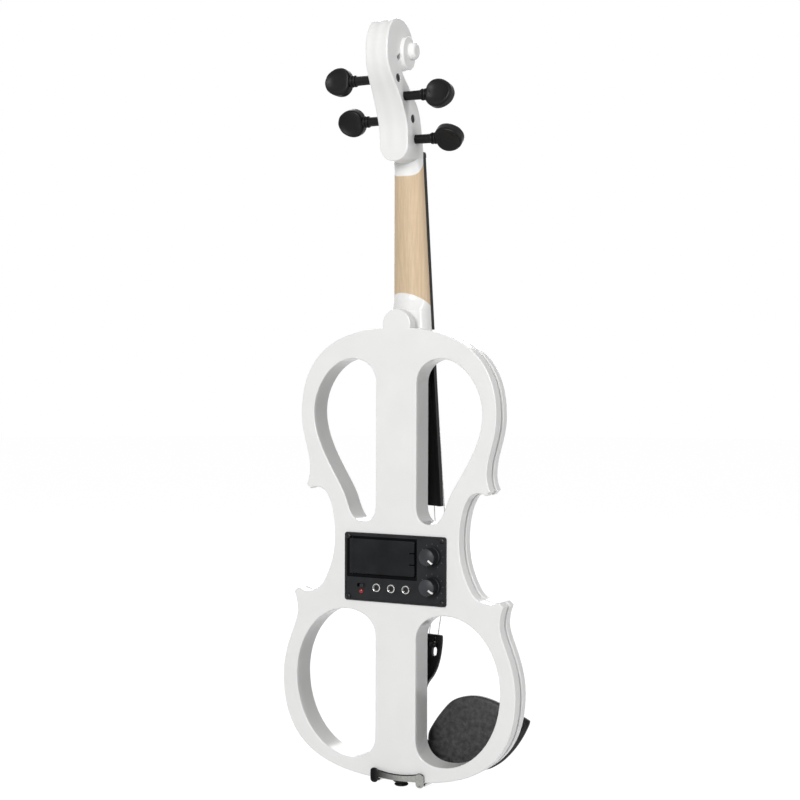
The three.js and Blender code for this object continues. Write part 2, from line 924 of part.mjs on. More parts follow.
const bodyCore = () => {
  const holes = bodyHoles;
  const core = plate(insetOutline(bodyOutline(), grooveDepth), holes, [
    [coreBack, 0],
    [coreFront, 0],
  ]);
  return cut(core, pocket(), endpinHole(), tenonRoom(), ...screwHoles());
};

const saddleRoom = () => {
  const half = saddleHalfWidth + seam;
  return box(-half, half, frontFace - overrun, frontFace + saddleInset, -overrun, saddleLength + seam);
};

const bodyFront = () => {
  const bend = 1 - Math.SQRT1_2;
  const levels = [
    [frontSlabBack, 0],
    [frontFace + frontEdgeRadius, 0],
    [frontFace + frontEdgeRadius * bend, frontEdgeRadius * bend],
    [frontFace, frontEdgeRadius],
  ];
  const slab = plate(bodyOutline(), bodyHoles, levels);
  const leadAt = point3(leadHoleX, 0, bridgeZ);
  const leadHole = bar(leadRadius + seam, frontFace - overrun, 0, "y", leadAt, smallSides);
  return cut(slab, pocket(), endpinHole(), tenonRoom(), saddleRoom(), leadHole);
};

// Neck: where the fingerboard is glued, as a depth at a height
const neckSlope = Math.tan(degrees(neckSetAngle));
const glueY = (z) => frontFace - neckOverstand + (z - bodyLength) * neckSlope;
const fingerboardEnd = nutHeight - fingerboardLength;
const neckHalfWidth = (z) => {
  const way = (nutHeight - z) / fingerboardLength;
  return neckHalfWidthAtNut + (fingerboardHalfWidthAtEnd - neckHalfWidthAtNut) * way;
};

const neckRing = (z, depth, halfWidth) => {
  const count = roundSides - 4;
  return Array.from({ length: count + 1 }, (unused, i) => {
    const turn = (Math.PI * i) / count;
    return point3(halfWidth * Math.cos(turn), glueY(z) + depth * Math.sin(turn), z);
  });
};

const neckShaft = () => {
  const rings = [];
  const buttonTop = bodyLength + buttonRise + buttonRadius + seam;
  heelDepthShares.forEach(([place, share]) => {
    const z = bodyLength + seam + place * heelLength;
    const room = z < buttonTop ? coreBack - glueY(z) : bodyDepth;
    rings.push(neckRing(z, Math.min(share * neckDepth, room), neckHalfWidth(z) - seam));
  });
  const chinStart = nutHeight + chinHeight - chinStretch;
  chinDepthShares.forEach(([place, depth]) => {
    const z = chinStart + place * chinStretch;
    rings.push(neckRing(z, depth * neckDepth, neckHalfWidth(z) - seam));
  });
  const tenonBottom = bodyLength - tenonLength;
  const tenonTop = bodyLength + heelLength / 2;
  const tenonBack = coreBack - seam;
  const front = glueY(tenonBottom) - seam;
  const tenon = box(-tenonHalfWidth, tenonHalfWidth, front, tenonBack, tenonBottom, tenonTop);
  const wedge = prism(
    [
      point2(glueY(tenonBottom), tenonBottom - overrun),
      point2(0, tenonBottom - overrun),
      point2(0, tenonTop + overrun),
      point2(glueY(tenonTop), tenonTop + overrun),
    ],
    "yz",
    -bodyDepth,
    bodyDepth,
  );
  return join(loft(rings), common(tenon, wedge));
};

const headPoint = ([reach, height]) => point2(reach * headBackReach, nutHeight + height * headHeight);
const smooth = (points, steps) => new THREE.SplineCurve(points).getPoints(steps);

const headHalfWidth = (z) => {
  const place = (z - nutHeight) / headHeight;
  const rows = headWidthShares;
  const after = rows.findIndex(([height]) => height >= place);
  if (after <= 0) return scrollHalfWidth + rows[0][1] * (pegboxHalfWidth - scrollHalfWidth);
  const [lowHeight, lowShare] = rows[after - 1];
  const [highHeight, highShare] = rows[after];
  const way = (place - lowHeight) / (highHeight - lowHeight);
  const share = lowShare + way * (highShare - lowShare);
  return scrollHalfWidth + share * (pegboxHalfWidth - scrollHalfWidth);
};

const scrollTurn = (share, radius, halfWidth) => {
  const centre = headPoint(share);
  const at = point3(0, centre.x, centre.y);
  return bar(radius, -halfWidth, halfWidth, "x", at, roundSides + smallSides);
};

const pegPlace = (name) => headPoint(pegShares[name]);
const pegLength = (name) => headHalfWidth(pegPlace(name).y) - seam;

// A peg's shaft and its hole taper alike: [radius, place along X] from the tip to the collar
const pegTaper = (name, clearance) => {
  const tip = -pegLength(name);
  return [
    [pegTipRadius + clearance, tip],
    [pegShaftRadius + clearance, pegReach],
  ];
};

const pegHole = (name) => {
  const place = pegPlace(name);
  const [[tipRadius, tip], [shaftRadius, end]] = pegTaper(name, seam);
  const side = pegSides[name];
  const profile = [
    [0, tip - overrun],
    [tipRadius, tip - overrun],
    [tipRadius, tip],
    [shaftRadius, end],
    [0, end],
  ].map(([radius, along]) => [radius, along * side]);
  return turned(profile, "x", point3(0, place.x, place.y));
};

const slotTop = nutHeight + headHeight * slotFloorShares[slotFloorShares.length - 1][1];
const head = () => {
  const back = smooth(headBackShares.map(headPoint), headSplineSteps);
  const centre = headPoint(voluteCentreShare);
  const front = headFrontShares.map(headPoint);
  const underVolute = [250, 275, 300, 325].map((angle) => {
    const turn = degrees(angle);
    return point2(centre.x + voluteRadius * Math.cos(turn), centre.y + voluteRadius * Math.sin(turn));
  });
  const foot = point2(glueY(nutHeight) + headFrontSetback, nutHeight + nutLength + headFrontFoot);
  const root = point2(glueY(nutHeight), nutHeight - chinHeight);
  const side = prism([...back, ...underVolute, ...front, foot, root], "yz", -bodyDepth, bodyDepth);
  const heights = headWidthShares.map(([height]) => nutHeight + height * headHeight);
  const right = heights.map((z) => point2(headHalfWidth(z), z));
  const chin = Array.from({ length: smallSides + 1 }, (unused, i) => {
    const turn = Math.PI + (Math.PI * i) / smallSides;
    const radius = headHalfWidth(heights[0]);
    return point2(radius * Math.cos(turn), nutHeight + chinHeight + radius * Math.sin(turn));
  });
  const facing = prism([...chin, ...right, ...mirrored(right).reverse()], "xz", -bodyLength, bodyLength);
  const floor = slotFloorShares.map(headPoint);
  const slotFront = glueY(nutHeight) - overrun;
  const slotSide = prism(
    [
      ...floor,
      ...slotMouthShares.map(headPoint),
      point2(slotFront, headPoint(headFrontShares[4]).y),
      point2(slotFront, nutHeight + slotStart),
      point2(floor[0].x, nutHeight + slotStart),
    ],
    "yz",
    -bodyDepth,
    bodyDepth,
  );
  const slotFacing = prism(
    [
      point2(-slotHalfWidthAtNut, nutHeight),
      point2(slotHalfWidthAtNut, nutHeight),
      point2(slotHalfWidthAtTop, slotTop + overrun),
      point2(-slotHalfWidthAtTop, slotTop + overrun),
    ],
    "xz",
    -bodyLength,
    bodyLength,
  );
  const volute = scrollTurn(voluteCentreShare, voluteRadius, scrollHalfWidth + voluteStep);
  const eyes = scrollTurn(eyeCentreShare, eyeRadius, scrollHalfWidth + voluteStep + eyeStep);
  const block = join(common(side, facing), volute, eyes);
  return [block, common(slotSide, slotFacing)];
};

const neck = () => {
  const [block, slot] = head();
  return cut(join(neckShaft(), block), slot, ...stringNames.map(pegHole));
};

// Fingerboard, with its camber, and hollow under its free end
const boardRing = (z, lift, side, margin) => {
  const half = neckHalfWidth(z) - margin;
  const base = glueY(z) - lift;
  const edge = Math.sqrt(fingerboardCamber ** 2 - half ** 2);
  const arch = Array.from({ length: smallSides + 1 }, (unused, i) => {
    const x = half - (2 * half * i) / smallSides;
    const rise = Math.sqrt(fingerboardCamber ** 2 - x ** 2) - edge;
    return point3(x, base - side - rise, z);
  });
  return [point3(-half, base, z), point3(half, base, z), ...arch];
};

const fingerboard = () => {
  const whole = loft([
    boardRing(fingerboardEnd, seam, fingerboardSide - seam, 0),
    boardRing(nutHeight, seam, fingerboardSide - seam, 0),
  ]);
  const end = fingerboardEnd + fingerboardHollowLength;
  const low = -overrun;
  const hollow = loft([
    boardRing(fingerboardEnd - overrun, low, overrun, fingerboardHollowMargin),
    boardRing(end - fingerboardHollow * 2, low, overrun, fingerboardHollowMargin),
    boardRing(end, low, 0, fingerboardHollowMargin),
  ]);
  return cut(whole, hollow);
};

const nutTop = (x) => {
  const top = glueY(nutHeight) - fingerboardSide - nutRise;
  const edge = Math.sqrt(fingerboardCamber ** 2 - neckHalfWidthAtNut ** 2);
  return top - (Math.sqrt(fingerboardCamber ** 2 - x ** 2) - edge);
};

const nutRing = (z, drop) => {
  const half = neckHalfWidthAtNut;
  const base = glueY(nutHeight) - seam;
  const crown = Array.from({ length: smallSides + 1 }, (unused, i) => {
    const x = half - (2 * half * i) / smallSides;
    return point3(x, nutTop(x) + drop, z);
  });
  return [point3(-half, base, z), point3(half, base, z), ...crown];
};

const nut = () => {
  const low = nutHeight + seam;
  const high = nutHeight + nutLength;
  const middle = (low + high) / 2;
  return loft([nutRing(low, 0), nutRing(middle, nutDrop / 4), nutRing(high, nutDrop)]);
};

// Pegs, each drawn along X from its tip to its head
const peg = (name) => {
  const [[tipRadius, tip], [shaftRadius, end]] = pegTaper(name, 0);
  const collar = end + pegCollarLength;
  const shaft = turned(
    [
      [0, tip],
      [tipRadius, tip],
      [shaftRadius, end],
      [pegCollarRadius, end],
      [pegCollarRadius, end + pegCollarLength * 0.5],
      [shaftRadius, end + pegCollarLength * 0.6],
      [pegCollarRadius * 0.92, end + pegCollarLength * 0.8],
      [pegCollarRadius * 0.92, collar],
      [shaftRadius, collar + pegHeadLength * 0.2],
      [0, collar + pegHeadLength * 0.25],
    ],
    "x",
    point3(0, 0, 0),
  );
  const start = end + pegCollarLength * 0.8;
  const length = pegHeadLength - pegCollarLength * 0.8;
  const upper = pegHeadShares.map(([along, up]) => point2(start + along * length, up * pegHeadHalfHeight));
  const lower = upper.slice(0, -1).map((at) => point2(at.x, -at.y));
  const rim = smooth([...upper, ...lower.reverse()], roundSides + smallSides);
  const half = pegHeadThickness / 2;
  const levels = [
    [half, pegHeadBevel],
    [half - pegHeadBevel, 0],
    [pegHeadBevel - half, 0],
    [-half, pegHeadBevel],
  ];
  const heart = plate(openLoop(rim), [], levels);
  const middleX = start + length / 2;
  const dishes = [-1, 1].map((side) => {
    const sphere = new THREE.SphereGeometry(pegDishRadius, roundSides + smallSides, roundSides);
    sphere.translate(middleX, side * (half + pegDishRadius - pegDishDepth), 0);
    return solidOf(sphere);
  });
  return join(shaft, cut(heart, ...dishes));
};

// Bridge
const pickupBack = frontFace - seam;
const pickupFront = pickupBack - pickupThickness;
const bridgeFeet = pickupFront - seam;
const bridgeTop = (x) => {
  const drop = bridgeCrown - Math.sqrt(bridgeCrown ** 2 - x ** 2);
  return bridgeFeet - bridgeHeight + drop;
};

const bridge = () => {
  const at = ([across, up]) => point2(across * bridgeHalfWidth, up * bridgeHeight);
  const right = bridgeShares.map(at);
  const edge = right[right.length - 1].x;
  const crown = Array.from({ length: smallSides + 1 }, (unused, i) => {
    const x = edge - (2 * edge * i) / smallSides;
    return point2(x, bridgeFeet - bridgeTop(x));
  });
  const arch = bridgeArchShares.map(at);
  const leftArch = mirrored(arch.slice(0, -1));
  const leftSide = mirrored(right).reverse();
  const outline = [...right, ...crown, ...leftSide, ...leftArch, ...[...arch].reverse()];
  const windowRight = bridgeWindowShares.map(at);
  const heartRight = bridgeHeartShares.map(at);
  const heart = [...heartRight, ...mirrored(heartRight.slice(1, -1)).reverse()];
  const flat = (loop) => loop.map((point) => point2(point.x, bridgeFeet - point.y));
  const low = bridgeZ - bridgeFootThickness / 2;
  const high = bridgeZ + bridgeFootThickness / 2;
  const sheet = prism(flat(outline), "xy", low, high);
  const windows = [windowRight, mirrored(windowRight), heart].map((loop) =>
    prism(flat(loop), "xy", low - overrun, high + overrun),
  );
  const topY = bridgeFeet - bridgeHeight;
  const wedge = prism(
    [
      point2(bridgeFeet + overrun, low),
      point2(bridgeFeet + overrun, high),
      point2(bridgeFeet, high),
      point2(topY, bridgeZ + bridgeTopThickness / 2),
      point2(topY - overrun, bridgeZ + bridgeTopThickness / 2),
      point2(topY - overrun, bridgeZ - bridgeTopThickness / 2),
      point2(topY, bridgeZ - bridgeTopThickness / 2),
      point2(bridgeFeet, low),
    ],
    "yz",
    -bridgeHalfWidth - overrun,
    bridgeHalfWidth + overrun,
  );
  return cut(common(sheet, wedge), ...windows);
};

const pickup = () =>
  box(
    -pickupHalfWidth,
    pickupHalfWidth,
    pickupFront,
    pickupBack,
    bridgeZ - pickupHalfLength,
    bridgeZ + pickupHalfLength,
  );

// The pickup's lead runs out of the bar's end, down its hole and on to the circuit board
const boardFront = pocketFront + seam;
const boardBack = boardFront + boardThickness;
const pickupLead = () => {
  const y = (pickupBack + pickupFront) / 2;
  const bend = leadRadius * 2;
  const over = boardBack + bend * 2;
  const landing = boardTop - bend * 3;
  const route = [
    point3(-pickupHalfWidth - seam, y, bridgeZ),
    point3(leadHoleX + bend, y, bridgeZ),
    point3(leadHoleX, y + bend, bridgeZ),
    point3(leadHoleX, over - bend, bridgeZ),
    point3(leadHoleX, over, bridgeZ - bend),
    point3(leadHoleX, over, landing + bend),
    point3(leadHoleX, over - bend, landing),
    point3(leadHoleX, boardBack + seam, landing),
  ];
  return wire(route, leadRadius);
};

// Tailpiece: a point on it from x, the way along it and the way out from its underside
const tailpieceTurn = degrees(tailpieceTilt);
const tailpieceRootY = frontFace - tailpieceRise;
const tailPoint = (x, along, out) => {
  const y = tailpieceRootY - along * Math.sin(tailpieceTurn) - out * Math.cos(tailpieceTurn);
  const z = tailpieceFoot + along * Math.cos(tailpieceTurn) - out * Math.sin(tailpieceTurn);
  return point3(x, y, z);
};
const stringPlace = (i, spread) => spread * (i / (stringNames.length - 1) - 0.5);
const tailTop = (x) =>
  tailpieceThickness - tailpieceCamber + Math.sqrt(tailpieceCamber ** 2 - x ** 2);
const tunedString = stringNames.length - 1;
const tunerX = stringPlace(tunedString, tailSpread);
const tunerLift = tailTop(tunerX - tunerPlateHalfWidth) + seam;

// Pieces of the tailpiece are drawn flat: X across, Z along it and -Y out of its underside
const keyhole = (x) => {
  const top = -tailpieceThickness - overrun;
  const half = keyholeWidth / 2;
  const slotHalf = keySlotWidth / 2;
  const outline = [
    point2(x - half / 3, keyholeStart),
    point2(x + half / 3, keyholeStart),
    point2(x + half, keyholeStart + half),
    point2(x + half, keyholeEnd),
    point2(x + slotHalf, keyholeEnd + half),
    point2(x + slotHalf, keySlotEnd),
    point2(x + slotHalf / 2, keySlotEnd + slotHalf),
    point2(x - slotHalf / 2, keySlotEnd + slotHalf),
    point2(x - slotHalf, keySlotEnd),
    point2(x - slotHalf, keyholeEnd + half),
    point2(x - half, keyholeEnd),
    point2(x - half, keyholeStart + half),
  ];
  return prism(outline, "xz", top, overrun);
};

const tunerRoom = () => {
  const half = leverWidth / 2 + seam;
  const left = tunerX - half;
  const right = tunerX + half;
  const top = -tailpieceThickness - overrun;
  const armFront = -leverPivotLift - leverPlate / 2 - seam;
  const under = box(left, right, armFront, overrun, leverSlotStart, leverSlotEnd);
  const hookLow = leverPivot - leverPlate - seam;
  const hookRoom = box(left, right, top, overrun, hookLow, leverSlotEnd);
  const screwAt = point3(tunerX, 0, leverPivot - leverArm);
  const screwRoom = bar(tunerBushRadius + seam, top, 0, "y", screwAt);
  return join(under, hookRoom, screwRoom);
};

const tailpiece = () => {
  const right = tailpieceShares.map(([across, along]) =>
    point2(across * tailpieceHalfWidth, along * tailpieceLength),
  );
  const outline = [...right, ...mirrored(right).reverse()];
  const slab = plate(outline, [], [
    [0, tailpieceBevel],
    [-tailpieceBevel, 0],
    [-tailpieceThickness - overrun, 0],
  ]);
  const barrelAt = (rise) => {
    const radius = tailpieceCamber + rise;
    const middle = point3(0, tailpieceCamber - tailpieceThickness, 0);
    return bar(radius, -overrun, tailpieceLength + overrun, "z", middle, camberSides);
  };
  const fretLow = fretPlace - fretHalfThickness;
  const fretHigh = fretPlace + fretHalfThickness;
  const top = -tailpieceThickness - overrun;
  const fretBar = box(-fretHalfWidth, fretHalfWidth, top, -tailpieceBevel, fretLow, fretHigh);
  const fret = common(fretBar, barrelAt(fretRise));
  const keyholes = stringNames.slice(0, tunedString).map((name, i) =>
    keyhole(stringPlace(i, tailSpread)),
  );
  const gutHoles = [-1, 1].map((side) => {
    const at = point3(side * gutHalfSpread, -gutLift, 0);
    return bar(gutRadius + seam, -overrun, tailpieceFoot * 2 + gutRadius, "z", at, smallSides);
  });
  return cut(join(common(slab, barrelAt(0)), fret), ...keyholes, tunerRoom(), ...gutHoles);
};

// The fine tuner's lever, drawn about its pivot: an arm under the screw and a forked hook
const tunerLever = () => {
  const half = leverWidth / 2;
  const thick = leverPlate / 2;
  const arm = box(-half, half, -thick, thick, -leverArm - thick, leverHookThickness);
  const hookTop = leverPivotLift - leverHookRise;
  const hook = box(-half, half, hookTop, thick, 0, leverHookThickness);
  const forkHalf = forkWidth / 2;
  const forkBottom = leverPivotLift - hookedStringLift + forkHalf;
  const fork = box(-forkHalf, forkHalf, hookTop - overrun, forkBottom, -overrun, overrun);
  const pin = bar(leverPinRadius, -half, half, "x", point3(0, 0, 0), smallSides);
  return cut(join(arm, hook, pin), fork);
};

// The tuner's plate on the tailpiece and the bush that its screw runs in
const tunerScrewTip = leverPivotLift + leverPlate / 2 + seam;
const tunerPlate = () => {
  const halfX = tunerPlateHalfWidth;
  const halfZ = tunerPlateHalfLength;
  const front = -tunerLift - tunerPlateThickness;
  const sheet = box(-halfX, halfX, front, -tunerLift, -halfZ, halfZ);
  const bushTop = front - tunerHeadLift + seam;
  const at = point3(0, 0, 0);
  const bush = bar(tunerBushRadius, bushTop, -tunerScrewTip, "y", at);
  const bore = bar(tunerScrewRadius + seam, bushTop - overrun, overrun, "y", at, smallSides);
  return cut(join(sheet, bush), bore);
};

const tunerScrew = () => {
  const headLow = -tunerLift - tunerPlateThickness - tunerHeadLift;
  const at = point3(0, 0, 0);
  const shank = bar(tunerScrewRadius, headLow - seam, -tunerScrewTip, "y", at, smallSides);
  const rim = Array.from({ length: tunerHeadTeeth * 2 }, (unused, i) => {
    const radius = tunerHeadRadius * (i % 2 ? 0.9 : 1);
    const turn = (Math.PI * i) / tunerHeadTeeth;
    return point2(radius * Math.cos(turn), radius * Math.sin(turn));
  });
  return join(shank, prism(rim, "xz", headLow - tunerHeadHeight, headLow));
};

// The gut loop from the tailpiece, over the saddle and round the endpin's neck
const tailGut = () => {
  const depth = gutLift;
  const inside = tailpieceFoot * 2;
  const lift = gutRadius + seam;
  const saddleTop = frontFace - saddleRise - lift;
  const hang = -lift;
  const turnRadius = endpinGrooveRadius + lift;
  const grooveZ = -endpinGrooveWidth / 2 - seam;
  const loopZ = Math.min(hang, grooveZ);
  const strand = (side) => {
    const x = side * gutHalfSpread;
    return [
      tailPoint(x, inside, depth),
      tailPoint(x, 0, depth),
      point3(x, saddleTop, saddleLength * 0.6),
      point3(x, saddleTop + lift / 2, -lift / 2),
      point3(side * turnRadius * 0.8, frontFace, loopZ),
      point3(side * turnRadius, endpinY - gutRadius, loopZ),
    ];
  };
  const round = [30, 60, 90, 120, 150].map((angle) => {
    const turn = degrees(angle);
    return point3(-turnRadius * Math.cos(turn), endpinY + turnRadius * Math.sin(turn), loopZ);
  });
  return wire([...strand(-1), ...round, ...strand(1).reverse()], gutRadius);
};

const saddle = () => {
  const back = frontFace + saddleInset - seam;
  const front = frontFace - saddleRise;
  const round = saddleRise / 2;
  const outline = [
    point2(back, seam),
    point2(back, saddleLength),
    point2(front + round, saddleLength),
    point2(front, saddleLength - round),
    point2(front, seam + round),
    point2(front + round, seam),
  ];
  return prism(outline, "yz", -saddleHalfWidth, saddleHalfWidth);
};

const endpin = () => {
  const collarTop = -seam;
  const grooveLow = collarTop - seam - endpinGrooveWidth - gutRadius;
  const low = -endpinCollarLength;
  return turned(
    [
      [0, endpinStemLength],
      [endpinStemRadius * 0.85, endpinStemLength],
      [endpinStemRadius, endpinStemLength * 0.4],
      [endpinStemRadius, collarTop],
      [endpinGrooveRadius, collarTop],
      [endpinGrooveRadius, grooveLow],
      [endpinCollarRadius, grooveLow],
      [endpinCollarRadius, low * 0.8],
      [endpinCollarRadius * 0.72, low],
      [0, low * 1.06],
    ],
    "z",
    point3(0, endpinY, 0),
  );
};

// Strings
const tangentPoint = (centre, radius, from) => {
  const way = from.clone().sub(centre);
  const distance = way.length();
  const turn = Math.acos(radius / distance);
  const angle = Math.atan2(way.y, way.x) + turn * -1;
  return point2(centre.x + radius * Math.cos(angle), centre.y + radius * Math.sin(angle));
};

// From the tailpiece: a bead behind its keyhole, or a ball in the fine tuner's hook
const stringAnchor = (i, radius) => {
  const x = stringPlace(i, tailSpread);
  if (i === tunedString) {
    const along = leverPivot - hookedBallGap - ballRadius;
    const ballAt = tailPoint(x, along, hookedStringLift);
    const sphere = new THREE.SphereGeometry(ballRadius, smallSides, smallSides / 2);
    sphere.translate(ballAt.x, ballAt.y, ballAt.z);
    return [solidOf(sphere), [ballAt, tailPoint(x, leverPivot, hookedStringLift)]];
  }
  const beadAt = tailPoint(x, beadPlace, -beadRadius - seam);
  const bead = bar(beadRadius, -beadHalfLength, beadHalfLength, "x", beadAt, smallSides);
  const overFret = tailTop(x) + fretRise + radius + seam;
  const route = [
    beadAt,
    tailPoint(x, beadPlace + beadRadius, 0),
    tailPoint(x, keySlotEnd - seam * 4, tailTop(x)),
    tailPoint(x, fretPlace, overFret),
  ];
  return [bead, route];
};

const violinString = (name, i) => {
  const radius = stringRadii[i];
  const lift = radius + seam;
  const bridgeX = stringPlace(i, bridgeSpread);
  const overBridge = point3(bridgeX, bridgeTop(bridgeX) - lift, bridgeZ);
  const nutX = stringPlace(i, nutSpread);
  const overNut = point3(nutX, nutTop(nutX) - lift, nutHeight + seam);
  const behindNut = point3(nutX, nutTop(nutX) + nutDrop - lift, nutHeight + nutLength);
  const at = pegPlace(name);
  const heightShare = (at.y - nutHeight) / (slotTop - nutHeight);
  const slotHalf = slotHalfWidthAtNut + (slotHalfWidthAtTop - slotHalfWidthAtNut) * heightShare;
  const coilX = windingShares[name] * slotHalf;
  const [[tipRadius, tip], [shaftRadius, end]] = pegTaper(name, 0);
  const way = (coilX * pegSides[name] - tip) / (end - tip);
  const inner = tipRadius + (shaftRadius - tipRadius) * way + coilGap;
  const leaves = tangentPoint(at, inner + radius, point2(behindNut.y, behindNut.z));
  const atPeg = point3(coilX, leaves.x, leaves.y);
  const [anchor, route] = stringAnchor(i, radius);
  const span = wire([...route, overBridge, overNut, behindNut, atPeg], radius);
  const half = windingTurns * radius;
  const coil = turned(
    [
      [inner, -half],
      [inner + radius * 2, -half],
      [inner + radius * 2, half],
      [inner, half],
      [inner, -half],
    ],
    "x",
    point3(coilX, at.x, at.y),
  );
  return join(span, coil, anchor);
};

// Chin rest: a dished cup beside the tailpiece, with an arm over it and two feet
const restUnder = frontFace - chinRestGap;
const clampX = (side) => clampMiddleX + (side * footSpread) / 2;
const chinRestCup = () => {
  const rim = smooth(
    [...cupShares, cupShares[0]].map(([x, z]) => point2(x, z)),
    cupSplineSteps,
  ).slice(0, -1);
  const rings = cupRingShares.map(([size, up]) =>
    rim.map((at) =>
      point3(
        cupMiddleX + at.x * size * cupHalfWidth,
        restUnder - up * cupThickness,
        cupMiddleZ + at.y * size * cupHalfHeight,
      ),
    ),
  );
  const under = point3(cupMiddleX, restUnder, cupMiddleZ);
  const dish = point3(cupMiddleX, restUnder - cupDishShare * cupThickness, cupMiddleZ);
  return loft(rings, under, dish);
};

const chinRest = () => {
  const armMiddleX = (armLeft + armRight) / 2;
  const armMiddleZ = (armBottom + armTop) / 2;
  const armHalfWidth = (armRight - armLeft) / 2;
  const armHalfHeight = (armTop - armBottom) / 2;
  const outline = roundedBox(armMiddleX, armMiddleZ, armHalfWidth, armHalfHeight, armCornerRadius);
  const armFront = restUnder - armThickness;
  const arm = plate(outline, [], [
    [restUnder, 0],
    [armFront + footBevel, 0],
    [armFront, footBevel],
  ]);
  const footBack = frontFace - seam - corkThickness - seam;
  const feet = [-1, 1].map((side) => {
    const middle = clampX(side);
    return box(
      middle - footHalfWidth,
      middle + footHalfWidth,
      restUnder - footBevel,
      footBack,
      footBottom,
      footTop,
    );
  });
  return join(chinRestCup(), arm, ...feet);
};

const chinRestCork = (side) => {
  const middle = clampX(side);
  const front = frontFace - seam - corkThickness;
  const left = middle - footHalfWidth;
  const right = middle + footHalfWidth;
  return box(left, right, front, frontFace - seam, footBottom + seam, footTop - seam);
};

// Clamp: a bracket under the arm, a padded foot over the back edge, and two turnbuckle barrels
const clampPlaces = [-1, 1].map((side) => point3(clampX(side), 0, -clampAxisDrop));
const barrelFront = frontFace + (bodyDepth - barrelLength) / 2 - bracketThickness;
const barrelBack = barrelFront + barrelLength;

const frontBracket = () => {
  const back = restUnder + seam + bracketThickness;
  const front = restUnder + seam;
  const low = bracketBottom;
  const high = footBottom - seam;
  const left = clampMiddleX - bracketHalfWidth;
  const right = clampMiddleX + bracketHalfWidth;
  const shelf = box(left, right, front, back, low, high);
  const half = bracketTongueHalfWidth;
  const tongue = box(clampMiddleX - half, clampMiddleX + half, front, back, low, bracketTongueTop);
  const rodEnd = barrelFront + barrelLength * 0.35;
  const rods = clampPlaces.map((at) => bar(clampRodRadius, front + seam, rodEnd, "y", at, smallSides));
  return join(shelf, tongue, ...rods);
};

const backPadFront = seam;
const backPadBack = backPadFront + corkThickness;
const bandHalfWidth = footSpread / 2;
const clampPad = () => {
  const half = bandHalfWidth - lugHalfWidth - seam;
  const left = clampMiddleX - half;
  return box(left, clampMiddleX + half, backPadFront, backPadBack, padBottom, padTop);
};

// The band dips in its middle and carries a lug at each end
const backBracket = () => {
  const front = backPadBack + seam;
  const back = front + bracketThickness;
  const edge = (low, rise) =>
    Array.from({ length: smallSides + 1 }, (unused, i) => {
      const way = (2 * i) / smallSides - 1;
      return point2(clampMiddleX + way * bandHalfWidth, low + rise * way ** 2);
    });
  const outline = [...edge(bandBottom, bandBottomRise), ...edge(bandTop, bandRise).reverse()];
  const band = prism(outline, "xz", front, back);
  const lugMiddle = (lugTop + lugBottom) / 2;
  const lugHalfHeight = (lugTop - lugBottom) / 2;
  const lugs = clampPlaces.map((at) => {
    const loop = roundedBox(at.x, lugMiddle, lugHalfWidth, lugHalfHeight, lugHalfWidth * 0.8);
    return prism(loop, "xz", front, back);
  });
  const rodEnd = barrelBack - barrelLength * 0.35;
  const rods = clampPlaces.map((at) => bar(clampRodRadius, rodEnd, back - seam, "y", at, smallSides));
  return join(band, ...lugs, ...rods);
};

const clampBarrel = () => {
  const bore = clampRodRadius + seam;
  const half = barrelLength / 2;
  const tube = turned(
    [
      [bore, -half],
      [barrelRadius, -half],
      [barrelRadius, half],
      [bore, half],
      [bore, -half],
    ],
    "y",
    point3(0, 0, 0),
    smallSides,
  );
  const keyHoles = [-1, 1].map((side) => {
    const at = point3(0, (side * half) / 2, 0);
    return bar(barrelHoleRadius, -barrelRadius * 2, barrelRadius * 2, "z", at, wireSides);
  });
  return cut(tube, ...keyHoles);
};

// Control panel
const doorMiddleZ = (doorBottom + doorTop) / 2;

const controlPanel = () => {
  const outline = roundedBox(0, panelMiddleHeight, panelHalfWidth, panelHalfHeight, panelCornerRadius);
  const face = plate(outline, [], [
    [panelFace, panelEdgeRadius],
    [panelFace - panelEdgeRadius, 0],
    [panelBack, 0],
  ]);
  const opening = box(doorLeft, doorRight, -overrun, overrun, doorBottom, doorTop);
  const pinHalf = doorPinRadius + seam;
  const pinLow = doorBottom - doorPinLength - seam;
  const pinHigh = doorTop + doorPinLength + seam;
  const pinLeft = doorAxisX - pinHalf;
  const pinRight = doorAxisX + pinHalf;
  const pinGroove = box(pinLeft, pinRight, -overrun, doorAxisY + pinHalf, pinLow, pinHigh);
  const through = (radius, x, z) => bar(radius + seam, -overrun, overrun, "y", point3(x, 0, z));
  const shafts = knobHeights.map((z) => through(potBushRadius, knobX, z));
  const jacks = jackPlaces.map((at) => through(jackBushRadius, at.x, at.z));
  const slotHalf = switchSlotLength / 2;
  const slotTall = switchSlotWidth / 2;
  const slot = box(
    switchX - slotHalf,
    switchX + slotHalf,
    -overrun,
    overrun,
    switchHeight - slotTall,
    switchHeight + slotTall,
  );
  const lamp = through(ledRadius, ledX, ledHeight);
  const screws = screwPlaces.map((at) => through(panelScrewRadius, at.x, at.z));
  return cut(face, opening, pinGroove, ...shafts, ...jacks, slot, lamp, ...screws);
};

const jackPlaces = [-1, 0, 1].map((step) => point3(jackMiddleX + step * jackPitch, 0, jackHeight));

